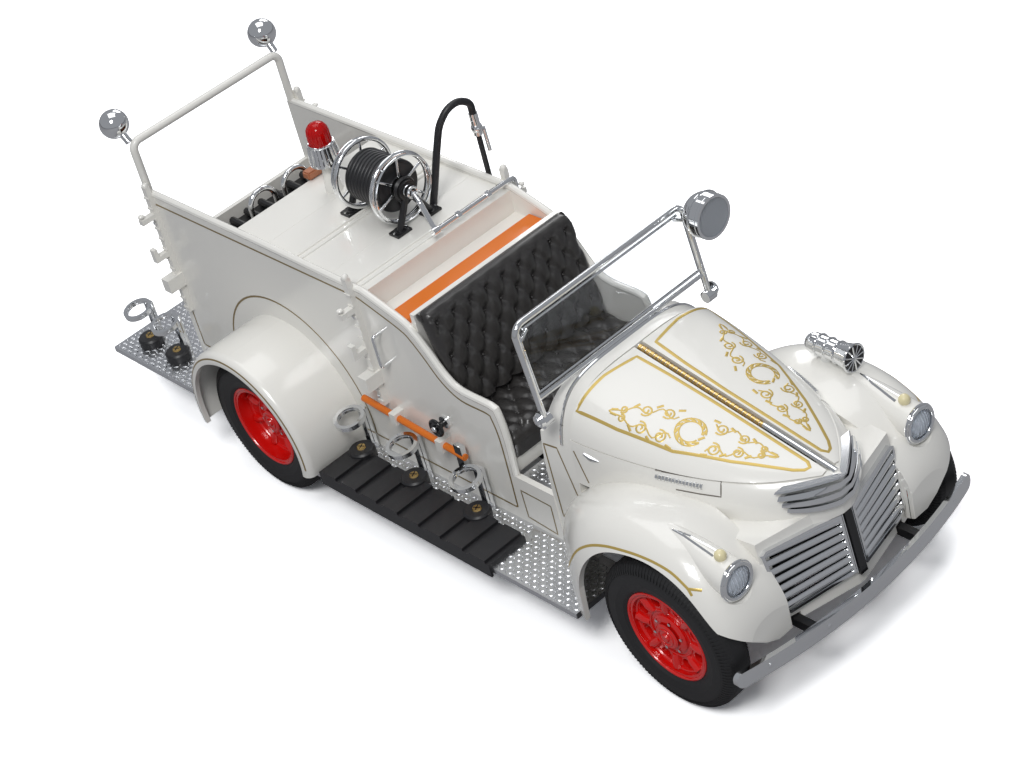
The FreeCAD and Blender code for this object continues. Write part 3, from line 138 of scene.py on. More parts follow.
SLOTS = {
    "body_white": WHITE, "chrome": CHROME, "chassis_black": BLACK, "engine_grey": GREY, "tyre_black": TYRE,
    "wheel_red": RED, "tread_plate": PLATE, "bed_black": BLACK, "rubber_black": RUBBER, "trim_black": GLOSS,
    "seat_black": SEAT, "wood_orange": WOOD, "clear_glass": GLASS, "lamp_lens": LENS, "lamp_cream": CREAM,
    "lamp_red": RUBY,
}
for part in frame["record"]["subparts"]:
    mesh = nodes[part["node"]].data
    mesh.materials.clear()
    mesh.materials.append(SLOTS[part["material_slot"]])
    mesh.set_sharp_from_angle(angle=math.radians(32))
    mesh.shade_smooth()


# Modelling helpers, all in millimetres.
def finish_mesh(name, bm, mat, body="vehicle", angle=35):
    """Turns a drawn shape into an object that moves with a body."""
    bmesh.ops.scale(bm, vec=(MM, MM, MM), verts=bm.verts)
    bmesh.ops.recalc_face_normals(bm, faces=bm.faces)
    mesh = bpy.data.meshes.new(name)
    bm.to_mesh(mesh)
    bm.free()
    mesh.materials.append(mat)
    mesh.polygons.foreach_set("use_smooth", [True] * len(mesh.polygons))
    mesh.set_sharp_from_angle(angle=math.radians(angle))
    o = bpy.data.objects.new(name, mesh)
    scene.collection.objects.link(o)
    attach(o, body)
    return o


def basis(way):
    """Two unit vectors square to a direction."""
    way = Vector(way).normalized()
    one = way.cross(Vector((0, 0, 1)) if abs(way.z) < 0.9 else Vector((1, 0, 0))).normalized()
    return one, way.cross(one)


def grid(bm, rows, close_u=False, close_v=False, caps=False):
    """Faces between rows of points; rows and points may close on themselves."""
    made = [[bm.verts.new(p) for p in row] for row in rows]
    count = len(made[0])
    for i in range(len(made) - (0 if close_u else 1)):
        a, b = made[i], made[(i + 1) % len(made)]
        for j in range(count - (0 if close_v else 1)):
            k = (j + 1) % count
            bm.faces.new((a[j], a[k], b[k], b[j]))
    if caps:
        bm.faces.new(made[0])
        bm.faces.new(made[-1])
    return made


def tube(bm, points, radius, around=8):
    """A round tube along points, with one radius or one for each point."""
    points = [Vector(p) for p in points]
    count = len(points)
    radii = radius if isinstance(radius, (list, tuple)) else [radius] * count
    first = (points[1] - points[0]).normalized()
    side, _ = basis(first)
    rows = []
    for i, p in enumerate(points):
        after = points[i + 1] if i < count - 1 else p
        before = points[i - 1] if i else p
        way = (after - before).normalized()
        side = (side - way * side.dot(way)).normalized()
        other = way.cross(side)
        rows.append([p + (side * math.cos(t) + other * math.sin(t)) * radii[i]
                     for t in (2 * math.pi * k / around for k in range(around))])
    grid(bm, rows, close_v=True, caps=True)


def rod(bm, a, b, radius, radius_end=None, around=14):
    """A straight round bar, or a cone."""
    tube(bm, (a, b), (radius, radius if radius_end is None else radius_end), around)


def lathe(bm, profile, centre, way=(0, 0, 1), steps=40):
    """A ring of revolution from a closed profile of (radius, height) corners."""
    way = Vector(way).normalized()
    one, two = basis(way)
    rows = []
    for k in range(steps):
        t = 2 * math.pi * k / steps
        out = one * math.cos(t) + two * math.sin(t)
        rows.append([Vector(centre) + out * r + way * h for r, h in profile])
    grid(bm, rows, close_u=True, close_v=True)


def ring(bm, centre, way, radius, thick, steps=40, around=8):
    """A round-section ring."""
    turns = [2 * math.pi * k / around for k in range(around)]
    lathe(bm, [(radius + thick * math.cos(t), thick * math.sin(t)) for t in turns], centre, way, steps)


def ball(bm, centre, radius, scale=(1, 1, 1), parts=(14, 9)):
    """A ball or a flattened ball."""
    place = Matrix.Translation(Vector(centre)) @ Matrix.Diagonal((*scale, 1))
    bmesh.ops.create_uvsphere(bm, u_segments=parts[0], v_segments=parts[1], radius=radius, matrix=place)


def block(bm, low, high, turn=None):
    """A plain box between two corners, turned about its middle if asked."""
    low, high = Vector(low), Vector(high)
    middle = (low + high) / 2
    size = high - low
    place = Matrix.Translation(middle) @ (turn or Matrix.Identity(4)) @ Matrix.Diagonal((*size, 1))
    bmesh.ops.create_cube(bm, size=1, matrix=place)


def spaced(points, step):
    """Even points along a smooth curve through the given ones."""
    points = [Vector(p) for p in points]
    count = len(points)
    run = []
    for i in range(count - 1):
        p0 = points[max(i - 1, 0)]
        p1, p2 = points[i], points[i + 1]
        p3 = points[min(i + 2, count - 1)]
        cuts = max(2, round((p2 - p1).length / step))
        for k in range(cuts):
            t = k / cuts
            run.append(0.5 * ((2 * p1) + (p2 - p0) * t + (2 * p0 - 5 * p1 + 4 * p2 - p3) * t * t
                              + (3 * p1 - p0 - 3 * p2 + p3) * t ** 3))
    return run + [points[-1]]


def straight(points, step, closed=False):
    """Even points along straight runs."""
    points = [Vector(p) for p in points]
    ends = points[1:] + points[:1] if closed else points[1:]
    run = []
    for a, b in zip(points, ends):
        cuts = max(1, round((b - a).length / step))
        run += [a.lerp(b, k / cuts) for k in range(cuts)]
    return run if closed else run + [points[-1]]


def surface(*names):
    """A search tree of CAD nodes in millimetres."""
    verts, faces = [], []
    for name in names:
        o = nodes[name]
        start = len(verts)
        verts += [(o.matrix_world @ v.co) / MM for v in o.data.vertices]
        faces += [[start + i for i in f.vertices] for f in o.data.polygons]
    return BVHTree.FromPolygons(verts, faces)


def snap(tree, point, way, reach=14):
    """Where a line along a direction first meets a surface, and the outward normal there."""
    hit, normal, _, _ = tree.ray_cast(Vector(point) + way * reach, -way, 3 * reach)
    if hit is None:
        return None, None
    return hit, normal if normal.dot(way) > 0 else -normal


def stripe(bm, path, width, tree, way, lift=0.06, closed=False, reach=14):
    """A thin band laid on a surface along a path."""
    way = Vector(way).normalized()
    path = [Vector(p) for p in path]
    count = len(path)
    rows = []
    for i, p in enumerate(path):
        after = path[(i + 1) % count] if closed or i < count - 1 else p
        before = path[i - 1] if closed or i else p
        side = (after - before).cross(way).normalized()
        edge = []
        for shift in (-0.5, 0, 0.5):
            spot, normal = snap(tree, p + side * width * shift, way, reach)
            if spot is None:
                break
            edge.append(spot + normal * (lift if shift == 0 else 0.02) + way * 0.01)
        if len(edge) == 3:
            rows.append(edge)
        elif len(rows) > 1:
            grid(bm, rows)
            rows = []
    if len(rows) > 1:
        grid(bm, rows, close_u=closed and len(rows) == count)


def mirrored(points, sign):
    """Points measured on the right side, for the side asked for."""
    return [Vector((p[0], p[1] * -sign, p[2])) for p in points]


def arc(cx, cz, radius, start, end, count):
    """Points on an arc in the side view, angles in degrees."""
    turns = [math.radians(start + (end - start) * k / count) for k in range(count + 1)]
    return [(cx + radius * math.cos(t), cz + radius * math.sin(t)) for t in turns]


# Wheels: raised rings, lobes between the holes, hub rings with bolts, and ribs round the tyre shoulders.
def wheel_trim(name, x, side_y, dish, sign, body, holes):
    """The rings and lobes on the outer face of a wheel's disc."""
    face = side_y + sign * (dish + 0.7)
    centre = Vector((x, face, HUB_Z))
    out = Vector((0, sign, 0))
    bm = bmesh.new()
    lip = side_y + sign * 3.0
    ring(bm, (x, lip, HUB_Z), out, 11.35, 0.42, 64)
    ring(bm, centre, out, 10.15, 0.45, 64)
    ring(bm, centre, out, 6.1, 0.35, 48)
    for k in range(8):
        t = math.radians(45 * k + 21 + (22.5 if holes else 0))
        way = Vector((math.cos(t), 0, math.sin(t)))
        spine = [centre + way * 6.2, centre + way * 7.6 + out * 0.15, centre + way * 9.9]
        tube(bm, spine, [0.75, 1.05, 1.2], 10)
    lathe(bm, [(3.4, 0), (5.0, 0), (5.0, 0.5), (4.6, 0.8), (3.4, 0.9)], centre, out, 48)
    lathe(bm, [(0.4, 1.4), (3.3, 1.4), (2.9, 1.75), (0.4, 1.85)], centre, out, 40)
    ring(bm, centre + out * 1.8, out, 2.1, 0.22, 32)
    rod(bm, centre + out * 1.6, centre + out * 2.3, 1.25, 0.95, 20)
    finish_mesh(f"wheel_trim_{name}", bm, RED, body)
    bm = bmesh.new()
    for k in range(6):
        t = math.radians(60 * k + 12)
        spot = centre + Vector((math.cos(t), 0, math.sin(t))) * 4.15
        rod(bm, spot + out * 0.6, spot + out * 1.25, 0.42, around=6)
    finish_mesh(f"wheel_bolts_{name}", bm, CHROME, body)


def tyre_ribs(name, x, middle, body):
    """Fine moulded ribs round both shoulders of a tyre."""
    bm = bmesh.new()
    corners = ((17.0, 4.12), (18.0, 3.74), (18.98, 2.88), (19.38, 1.8), (19.2, 1.4), (18.6, 2.5), (17.0, 3.8))
    count = 120
    for k in range(count):
        t = 2 * math.pi * k / count
        out = Vector((math.cos(t), 0, math.sin(t)))
        along = Vector((-math.sin(t), 0, math.cos(t))) * 0.2
        for flip in (1, -1):
            rows = [[Vector((x, middle, HUB_Z)) + out * r + Vector((0, flip * h, 0)) + along * s
                     for r, h in corners] for s in (-1, 1)]
            grid(bm, rows, close_v=True, caps=True)
    finish_mesh(f"tyre_ribs_{name}", bm, TYRE, body, 25)


for side, sign in SIDES:
    front_y = sign * 35.2
    wheel_trim(f"front_{side}", FRONT_X, front_y, 0.9, sign, f"front_wheel_{side}", True)
    tyre_ribs(f"front_{side}", FRONT_X, front_y, f"front_wheel_{side}")
    wheel_trim(f"rear_{side}", REAR_X, sign * 37.3, -1.5, sign, f"rear_wheels_{side}", False)
    tyre_ribs(f"rear_outer_{side}", REAR_X, sign * 37.3, f"rear_wheels_{side}")
    tyre_ribs(f"rear_inner_{side}", REAR_X, sign * 28.1, f"rear_wheels_{side}")


# Seat: buttoned diamonds pressed into closed pads.
def tufted(name, outline, pitch, rows_apart, depth, tuft_from, tuft_to, replaced, shift=0.0):
    """A closed pad across the cab whose outline is tufted between two shares of its length."""
    run = straight([(x, 0, z) for x, z in outline], 0.42)
    half = 23.6
    columns = 112
    total = len(run)
    outline_centre = sum(run, Vector()) / total
    rows = []
    for i, p in enumerate(run):
        before, after = run[max(i - 1, 0)], run[min(i + 1, total - 1)]
        way = (after - before).normalized()
        inward = Vector((way.z, 0, -way.x))
        if inward.dot(outline_centre - p) < 0:
            inward = -inward
        share = i / (total - 1)
        fade = min(1, max(0, (share - tuft_from) * 14)) * min(1, max(0, (tuft_to - share) * 14))
        row = []
        for j in range(columns + 1):
            y = -half + 2 * half * j / columns
            u = y / pitch + shift
            v = i * 0.42 / (2 * rows_apart)
            rising, falling = abs(math.sin(math.pi * (u + v))), abs(math.sin(math.pi * (u - v)))
            crease = 1 - min(rising, falling) ** 0.6
            dimple = ((1 - rising ** 2) * (1 - falling ** 2)) ** 2
            edge = min(1, (half - abs(y)) / 1.6)
            sink = depth * fade * (0.38 * crease + 0.62 * dimple) + 0.9 * (1 - edge) ** 2
            row.append(p + inward * sink + Vector((0, y, 0)))
        rows.append(row)
    buttons = bmesh.new()
    for across in range(-20, 21):
        for down in range(1, 12):
            i = round(down * rows_apart / 0.42)
            j = round((across / 2 - shift) * pitch * columns / (2 * half) + columns / 2)
            share = i / (total - 1)
            if (across + down) % 2 == 0 and 3 < j < columns - 3 and share < tuft_to - 0.05:
                ball(buttons, rows[i][j], 0.5, parts=(10, 6))
    finish_mesh(f"{name}_buttons", buttons, SEAT)
    bm = bmesh.new()
    made = grid(bm, rows)
    for end in (0, columns):
        bm.faces.new([row[end] for row in made])
    bm.faces.new(made[0] + made[-1][::-1])
    o = finish_mesh(name, bm, SEAT, "vehicle", 60)
    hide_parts(replaced)


tufted("tufted_seat_cushion",
       ((11.9, 40.3), (33.6, 40.75), (35.2, 40.2), (36.3, 38.8), (36.6, 37.2), (36.1, 33.4)),
       5.3, 4.6, 1.6, -0.1, 0.84, "seat_cushion")
tufted("tufted_seat_back",
       ((21.6, 41.5), (16.6, 65.2), (15.7, 66.5), (14.5, 67.1), (13.2, 67.1), (12.0, 66.7), (11.5, 65.8)),
       5.3, 4.6, 1.7, -0.1, 0.88, "seat_back", 0.5)

bm = bmesh.new()
for sign in (1, -1):
    ball(bm, (12.6, sign * 23.7, 65.6), 1.0, (1.2, 0.3, 1.2))
finish_mesh("seat_end_buttons", bm, SEAT)


# Tread plate: small raised lozenges in a crossed pattern.
def lozenges(bm, x0, x1, y0, y1, z):
    """Raised lozenges over a level rectangle."""
    pitch = 1.4
    for i in range(int((x1 - x0) / pitch)):
        for j in range(int((y1 - y0) / pitch)):
            x, y = x0 + pitch * (i + 0.6), y0 + pitch * (j + 0.6)
            t = math.radians(45 if (i + j) % 2 else -45)
            a, b = Vector((math.cos(t), math.sin(t), 0)) * 0.74, Vector((-math.sin(t), math.cos(t), 0)) * 0.27
            base = Vector((x, y, z + 0.01))
            ring_of = [bm.verts.new(base + s) for s in (a, b, -a, -b)]
            tops = [bm.verts.new(base + a * s + Vector((0, 0, 0.2))) for s in (0.45, -0.45)]
            bm.faces.new((ring_of[0], ring_of[1], tops[0]))
            bm.faces.new((ring_of[0], tops[0], ring_of[3]))
            bm.faces.new((ring_of[1], ring_of[2], tops[1], tops[0]))
            bm.faces.new((ring_of[3], tops[0], tops[1], ring_of[2]))
            bm.faces.new(ring_of[::-1])


bm = bmesh.new()
for sign in (1, -1):
    low, high = sorted((sign * 25.7, sign * 41.6))
    lozenges(bm, 40.8, 69.0, low, high, BOARD_TOP)
    inner, outer = sorted((sign * 25.7, sign * 30.3))
    lozenges(bm, -26.4, 40.4, inner, outer, BOARD_TOP)
    low, high = sorted((sign * 25.7, sign * 38.0))
    lozenges(bm, -96.4, -69.6, low, high, BOARD_TOP)
lozenges(bm, -122.4, -97.0, -38.0, 38.0, BOARD_TOP)
lozenges(bm, 37.4, 58.2, -23.6, 23.6, 29.2)
finish_mesh("tread_pattern", bm, PLATE, "vehicle", 10)

bm = bmesh.new()
rim = [(-97.0, 38.1), (-121.6, 38.1), (-122.5, 37.2), (-122.5, -37.2), (-121.6, -38.1), (-97.0, -38.1)]
tube(bm, [(x, y, BOARD_TOP - 0.8) for x, y in rim], 0.28, 8)
finish_mesh("tailboard_edge_bead", bm, PLATE)

# Body: rolled bead along the top edge of each side, and coach stripes.
BEAD = [(35.7, 29.2), (36.1, 40.2), (35.2, 47.3), (33.4, 48.9), (23, 49.2), (18.4, 51.6), (14, 57.0),
        (10.5, 61.0), (6.5, 63.6), (-6.5, 67.4)]
side_tree = surface("body_sides")
for side, sign in SIDES:
    bm = bmesh.new()
    bend = spaced([(x, sign * BEAD_Y, z) for x, z in BEAD], 1.2)
    tube(bm, bend + [(x, sign * BEAD_Y, RAIL_TOP) for x in (-50, -95.6)], 0.95, 10)
    finish_mesh(f"body_edge_bead_{side}", bm, WHITE)
    bm = bmesh.new()
    upper = [(33.6, 19), (33.9, 30), (33.9, 40), (32.9, 45.3), (31.6, 46.4), (22.6, 46.6), (16.9, 49.6),
             (12.2, 55.2), (8.9, 58.8), (5.5, 61), (-7.5, 64.9)]
    top = spaced([(x, 0, z) for x, z in upper], 1.0) + straight([(-9, 0, 65.2), (-92.5, 0, 65.2)], 3)
    top += spaced([(-93.6, 0, 64.8), (-94.2, 0, 63.8), (-94.2, 0, 40), (-94.2, 0, 19.0)], 2.0)
    foot = straight([(-93.6, 0, 18.6), (-77.2, 0, 18.6)], 3)
    over = [(x, 0, z) for x, z in arc(REAR_X, 21, 28.65, 184, -4, 40)]
    last = straight([(-18.8, 0, 18.6), (33.0, 0, 18.6)], 3)
    loop = [Vector(p) for p in top + foot + over + last]
    loop = [Vector((p[0], sign * 25.5, p[2])) for p in loop]
    stripe(bm, loop, 0.55, side_tree, (0, sign, 0), 0.05, closed=True)
    finish_mesh(f"coach_stripe_{side}", bm, BRONZE)
# Deck: raised double ridges, and small fittings in the bed.
bm = bmesh.new()
for x in (-9.4, -11.4, -32.6, -34.6):
    rod(bm, (x, -23.6, DECK_TOP + 0.1), (x, 23.6, DECK_TOP + 0.1), 0.42, around=10)
for x in (-21.0, -46.5):
    block(bm, (x - 0.1, -23.8, DECK_TOP - 0.05), (x + 0.1, 23.8, DECK_TOP + 0.04))
finish_mesh("deck_ridges", bm, WHITE)
bm = bmesh.new()
for y in (-11.0, 0.0, 11.0):
    coil = [(-63.7 + 1.2 * math.cos(t * 0.7), y + 1.2 * math.sin(t * 0.7), 51.0 + t * 0.085)
            for t in range(96)]
    tube(bm, coil, 0.4, 6)
finish_mesh("bed_spring_coils", bm, ORANGE)
bm = bmesh.new()
block(bm, (-61.6, 1.2, 67.0), (-58.6, 6.6, 69.2))
bmesh.ops.bevel(bm, geom=list(bm.edges), offset=0.4, segments=2, affect="EDGES")
finish_mesh("bed_block", bm, CLAY)
bm = bmesh.new()
for k in range(9):
    y = -20.0 + 5.0 * k
    tube(bm, straight([(-94.2, y, 47.2), (-66, y, 47.2)], 4), 1.05, 8)
finish_mesh("bed_slats", bm, BLACK)

# Places measured in the photograph, as (column, row) in the picture, put on the surface that shows there.
EYE = Vector((404.2, -268.32, 370.17))
YAW, PITCH, ROLL, FOCAL = math.radians(145.94), math.radians(-35.54), math.radians(-15.53), 2380.89
AHEAD = Vector((math.cos(PITCH) * math.cos(YAW), math.cos(PITCH) * math.sin(YAW), math.sin(PITCH)))
LEVEL = Vector((math.sin(YAW), -math.cos(YAW), 0))
UPWARD = LEVEL.cross(AHEAD)
RIGHT = LEVEL * math.cos(ROLL) + UPWARD * math.sin(ROLL)
ABOVE = UPWARD * math.cos(ROLL) - LEVEL * math.sin(ROLL)


def sighted(marks, tree):
    """Points of a right-hand surface seen at places in the picture."""
    spots = []
    for column, row in marks:
        way = (AHEAD * FOCAL + RIGHT * (column - 512) - ABOVE * (row - 384)).normalized()
        hit, _, _, _ = tree.ray_cast(EYE, way)
        if hit is not None:
            spots.append(hit)
    return spots


# Hood: gold borders, a generic scroll ornament and the bronze centre hinge.
hood_trees = {side: surface(f"hood_{side}") for side, _ in SIDES}
nose_tree = surface("nose_shell", "cowl", "front_fenders")
cab_tree = surface("cowl", "body_sides")
BORDER = [(62.75, -3.1), (61.2, -12.0), (61.0, -21.6), (72.0, -20.2), (85.7, -17.4), (97.7, -12.2),
          (105.0, -8.3), (109.6, -5.7), (111.4, -4.2), (111.9, -3.0), (110.6, -2.2),
          (98.0, -2.2), (84.7, -2.2), (72.0, -2.5)]
AXIS_START, AXIS_END = Vector((67.2, -18.4)), Vector((106.0, -4.8))
AXIS = AXIS_END - AXIS_START
ACROSS = Vector((-AXIS.y, AXIS.x)).normalized()


def ornament_point(along, across):
    """A plan point from its share of the ornament's axis and its distance off it."""
    return AXIS_START + AXIS * along + ACROSS * across


def curl(along, across, radius, start, turns, count=22):
    """A spiral that winds inwards round a point of the ornament."""
    middle = ornament_point(along, across)
    run = []
    for k in range(count + 1):
        share = k / count
        t = math.radians(start) + 2 * math.pi * turns * share
        run.append(middle + Vector((math.cos(t), math.sin(t))) * radius * (1 - 0.78 * share))
    return run


SCROLLS, LEAVES = [], []
for flip in (1, -1):
    for along, reach, radius in ((0.10, 1.0, 0.9), (0.22, 2.1, 1.45), (0.34, 2.9, 1.5), (0.64, 2.7, 1.6),
                                 (0.77, 1.9, 1.35), (0.89, 0.9, 0.9)):
        SCROLLS.append((curl(along, flip * reach, radius, 190 + 60 * flip, flip * 1.5), 0.42))
    waves = []
    for k in range(49):
        swell = 4.3 * math.sin(math.pi * k / 48) ** 0.8 * (0.72 + 0.28 * math.cos(k * 0.9))
        waves.append(ornament_point(0.02 + 0.96 * k / 48, flip * swell))
    SCROLLS += [(waves[:20], 0.36), (waves[29:], 0.36)]
    for along, reach, angle in ((0.16, 2.6, 50), (0.28, 4.0, 40), (0.40, 4.6, 20), (0.60, 4.4, -10),
                                (0.70, 3.4, -30), (0.83, 2.2, -40), (0.05, 0.5, 10), (0.95, 0.4, -10)):
        LEAVES.append((ornament_point(along, flip * reach), flip * angle))
    for radius in (2.6, 3.5):
        SCROLLS.append(([ornament_point(0.49, 0) + Vector((math.cos(t), math.sin(t))) * radius
                         for t in (math.radians(20 + 160 * k / 20) * flip for k in range(21))], 0.34))
axis_angle = math.degrees(math.atan2(AXIS.y, AXIS.x))
for k in range(12):
    spoke = math.radians(30 * k)
    out = Vector((math.cos(spoke), math.sin(spoke)))
    LEAVES.append((ornament_point(0.49, 0) + out * 3.05, 30 * k + 60 - axis_angle))

for side, sign in SIDES:
    tree = hood_trees[side]
    bm = bmesh.new()

    def dropped(run):
        """Plan points of the right-hand side put on top of this half of the hood."""
        spots = [snap(tree, (x, -sign * y, 60), Vector((0, 0, 1)), 30)[0] for x, y in run]
        return [spot for spot in spots if spot is not None]

    way = Vector((0, sign * 0.45, 0.9))
    edge = dropped([(q.x, q.y) for q in straight([(x, y, 0) for x, y in BORDER], 1.2, closed=True)])
    stripe(bm, edge, 0.75, tree, way, 0.06, closed=True)
    for run, width in SCROLLS:
        stripe(bm, dropped(run), width, tree, way, 0.08)
    for middle, angle in LEAVES:
        t = math.radians(angle + axis_angle)
        turn = Vector((math.cos(t), math.sin(t)))
        stripe(bm, dropped([middle + turn * step for step in (-0.8, -0.3, 0.3, 0.8)]), 0.62, tree, way, 0.09)
    finish_mesh(f"hood_ornament_{side}", bm, GOLD, f"hood_{side}_body", 60)

bm = bmesh.new()
hinge_a, hinge_b = Vector((60.4, 0, 59.95)), Vector((97.0, 0, 52.05))
hinge_way = (hinge_b - hinge_a).normalized()
for k in range(31):
    start = hinge_a + hinge_way * (k * 1.2 + 0.12)
    rod(bm, start, start + hinge_way * 0.96, 0.86 if k % 2 else 0.8, around=14)
finish_mesh("hinge_knuckles", bm, BRASS)

# Hood sides, cowl and fenders: brightwork, seams and stripes, where the photograph shows them.
fender_tree = surface("front_fenders")
rear_tree = surface("rear_fenders")


def dense(marks):
    """A smooth run of picture places."""
    return [(p.x, p.y) for p in spaced([(u, v, 0) for u, v in marks], 3)]


def even(marks, closed=False):
    """A run of picture places with its corners kept."""
    return [(p.x, p.y) for p in straight([(u, v, 0) for u, v in marks], 3, closed)]


SPEAR = sighted([(584, 454), (591, 458.5), (599, 462)], nose_tree)
CAPSULE = sighted([(656 + 48 * k / 14, 476.5 + 10.5 * k / 14) for k in range(15)], nose_tree)
RECESS = sighted(even([(655, 470), (688, 476), (721, 480.5), (721, 497), (700, 494), (676, 489.5)]),
                 nose_tree)
COWL_LINE = sighted(even([(573.4, 450.8), (589, 483)]), nose_tree)
DOOR_FRAME = sighted(even([(543.5, 443.5), (556.7, 448), (578.7, 497.7), (564, 516.8)], True), cab_tree)
STEP_FRAME = sighted(even([(520.9, 490.4), (550.8, 506.5), (558, 534.4), (528.8, 516.8)], True), cab_tree)
ARCH_STRIPE = sighted(dense([(572.8, 596), (568.4, 584), (567.8, 572.5), (570.5, 561), (577.2, 550.5),
                             (589, 545.6), (605, 546.1), (622.7, 550.5), (638, 555.5), (655, 563),
                             (672, 573.5), (688, 589)]), fender_tree)
FORK = [sighted(even([(688, 589), end]), fender_tree) for end in ((702, 590.5), (692, 596))]
POD_LINES = [sighted(even([(672.5, 529.1), (684.3, 536), (713, 556)]), fender_tree),
             sighted(even([(672.5, 529.1), (690, 535.5), (718, 551)]), fender_tree)]
for side, sign in SIDES:
    way = (0.25, sign * 0.85, 0.45)
    bm = bmesh.new()
    tube(bm, mirrored(SPEAR, sign), [0.45, 0.7, 0.2], 8)
    beads = mirrored(CAPSULE, sign)
    for a, b in zip(beads, beads[1:]):
        rod(bm, a, a.lerp(b, 0.66), 0.62, around=10)
    for line in POD_LINES:
        stripe(bm, mirrored(line, sign), 0.5, fender_tree, (0.2, sign * 0.4, 0.9), 0.16)
    finish_mesh(f"front_brightwork_{side}", bm, CHROME)
    bm = bmesh.new()
    stripe(bm, mirrored(RECESS, sign), 0.3, nose_tree, way, 0.03)
    finish_mesh(f"front_seams_{side}", bm, SEAM)
    bm = bmesh.new()
    stripe(bm, mirrored(DOOR_FRAME, sign), 0.45, cab_tree, (0, sign, 0), 0.05, closed=True)
    stripe(bm, mirrored(STEP_FRAME, sign), 0.42, cab_tree, (0, sign, 0), 0.05, closed=True)
    stripe(bm, mirrored(COWL_LINE, sign), 0.42, nose_tree, (0, sign, 0), 0.05)
    rear = [(REAR_X + 22.7 * math.cos(t), sign * 44.0, 20.1 + 22.7 * math.sin(t))
            for t in (math.radians(a) for a in range(-6, 187, 4))]
    stripe(bm, rear, 0.4, rear_tree, (0, sign, 0), 0.05)
    finish_mesh(f"coach_lines_{side}", bm, BRONZE)
    bm = bmesh.new()
    for line in (ARCH_STRIPE, *FORK):
        stripe(bm, mirrored(line, sign), 0.6, fender_tree, way, 0.06, reach=1.5)
    finish_mesh(f"fender_stripe_{side}", bm, GOLD)

# Windshield: inner frame, double lower rail, corner gussets, and the bright strip hugging the cowl.
RAKE = Vector((-3.15, 0, 24.4)).normalized()
bm = bmesh.new()
base = Vector((56.05, 0, 55.5))


def pane(y, up):
    """A place on the windshield's plane."""
    return base + RAKE * up + Vector((0, y, 0))


for sign in (1, -1):
    y = sign * 26.1
    rod(bm, pane(y, 7.0), pane(y, 22.6), 0.35, around=8)
    rod(bm, pane(sign * 23.5, 22.4), pane(sign * 26.6, 20.4), 0.45, around=8)
    rod(bm, pane(sign * 28.2, 1.0), pane(sign * 29.0, 1.0), 1.9, 1.5, 20)
    ball(bm, pane(sign * 29.0, 1.0), 1.1, (1, 0.6, 1))
rod(bm, pane(-26.4, 7.2), pane(26.4, 7.2), 0.38, around=8)
rod(bm, pane(-24.6, 23.0), pane(24.6, 23.0), 0.35, around=8)
finish_mesh("windshield_inner_frame", bm, CHROME)
bm = bmesh.new()
strip_run = []
for k in range(49):
    t = math.pi * k / 48
    c, s = math.cos(t), math.sin(t)
    y = 25.6 * math.copysign(abs(c) ** (2 / 4.5), c)
    z = 15.2 + (60.8 - 15.2) * max(s, 0) ** (2 / 4.5)
    if z > 46:
        strip_run.append(Vector((56.2, y, z)))
tube(bm, strip_run, 0.42, 8)
finish_mesh("cowl_bright_strip", bm, CHROME)

# Dashboard: round dials with chrome bezels, seen from the seat.
bm = bmesh.new()
for y in (-6.0, 0.0, 18.5):
    ring(bm, (56.1, y, 52.5), (1, 0, 0), 2.1, 0.25, 28, 6)
finish_mesh("dial_bezels", bm, CHROME)
bm = bmesh.new()
for y in (-6.0, 0.0, 18.5):
    rod(bm, (56.25, y, 52.5), (56.0, y, 52.5), 2.0, around=28)
finish_mesh("dial_faces", bm, GLOSS)

# Searchlight and headlights: bezels, lens ribs and the trunnion.
bm = bmesh.new()
ring(bm, (61.6, LAMP_Y, LAMP_Z), (1, 0, 0), 5.05, 0.4, 48)
ring(bm, (59.4, LAMP_Y, LAMP_Z), (1, 0, 0), 5.45, 0.22, 48)
rod(bm, (55.6, LAMP_Y, LAMP_Z), (53.6, LAMP_Y, LAMP_Z), 0.7, 0.4, 12)
for sign in (1, -1):
    ring(bm, (113.0, sign * HEAD_Y, HEAD_Z), (1, 0, 0), 4.5, 0.42, 48)
finish_mesh("lamp_bezels", bm, CHROME)
bm = bmesh.new()
for k in range(-4, 5):
    y = LAMP_Y + k * 0.95
    h = math.sqrt(4.6 ** 2 - (k * 0.95) ** 2)
    rod(bm, (61.2, y, LAMP_Z - h), (61.2, y, LAMP_Z + h), 0.2, around=6)
for sign in (1, -1):
    for k in range(-4, 5):
        off = k * 0.82
        h = math.sqrt(3.9 ** 2 - off ** 2)
        run = []
        for m in range(9):
            z = -h + 2 * h * m / 8
            depth = math.sqrt(max(5.2 ** 2 - off ** 2 - z ** 2, 0))
            run.append((109.17 + depth, sign * HEAD_Y + off, HEAD_Z + z))
        tube(bm, run, 0.16, 6)
finish_mesh("lens_ribs", bm, LENS)

# Siren: bands, dark throat and bars.
bm = bmesh.new()
for x, r in ((85.6, 2.55), (88.4, 2.55), (91.2, 2.6), (95.3, 3.35)):
    ring(bm, (x, SIREN_Y, SIREN_Z), (1, 0, 0), r, 0.28, 36, 8)
for k in range(6):
    t = math.pi * k / 6
    way = Vector((0, math.cos(t), math.sin(t))) * 3.1
    rod(bm, Vector((95.6, SIREN_Y, SIREN_Z)) - way, Vector((95.6, SIREN_Y, SIREN_Z)) + way, 0.2, around=6)
rod(bm, (87.4, SIREN_Y, 43.6), (87.4, SIREN_Y, 45.4), 2.6, 1.8, 24)
finish_mesh("siren_bands", bm, CHROME)
bm = bmesh.new()
rod(bm, (95.42, SIREN_Y, SIREN_Z), (95.56, SIREN_Y, SIREN_Z), 3.1, around=32)
finish_mesh("siren_throat", bm, GLOSS)

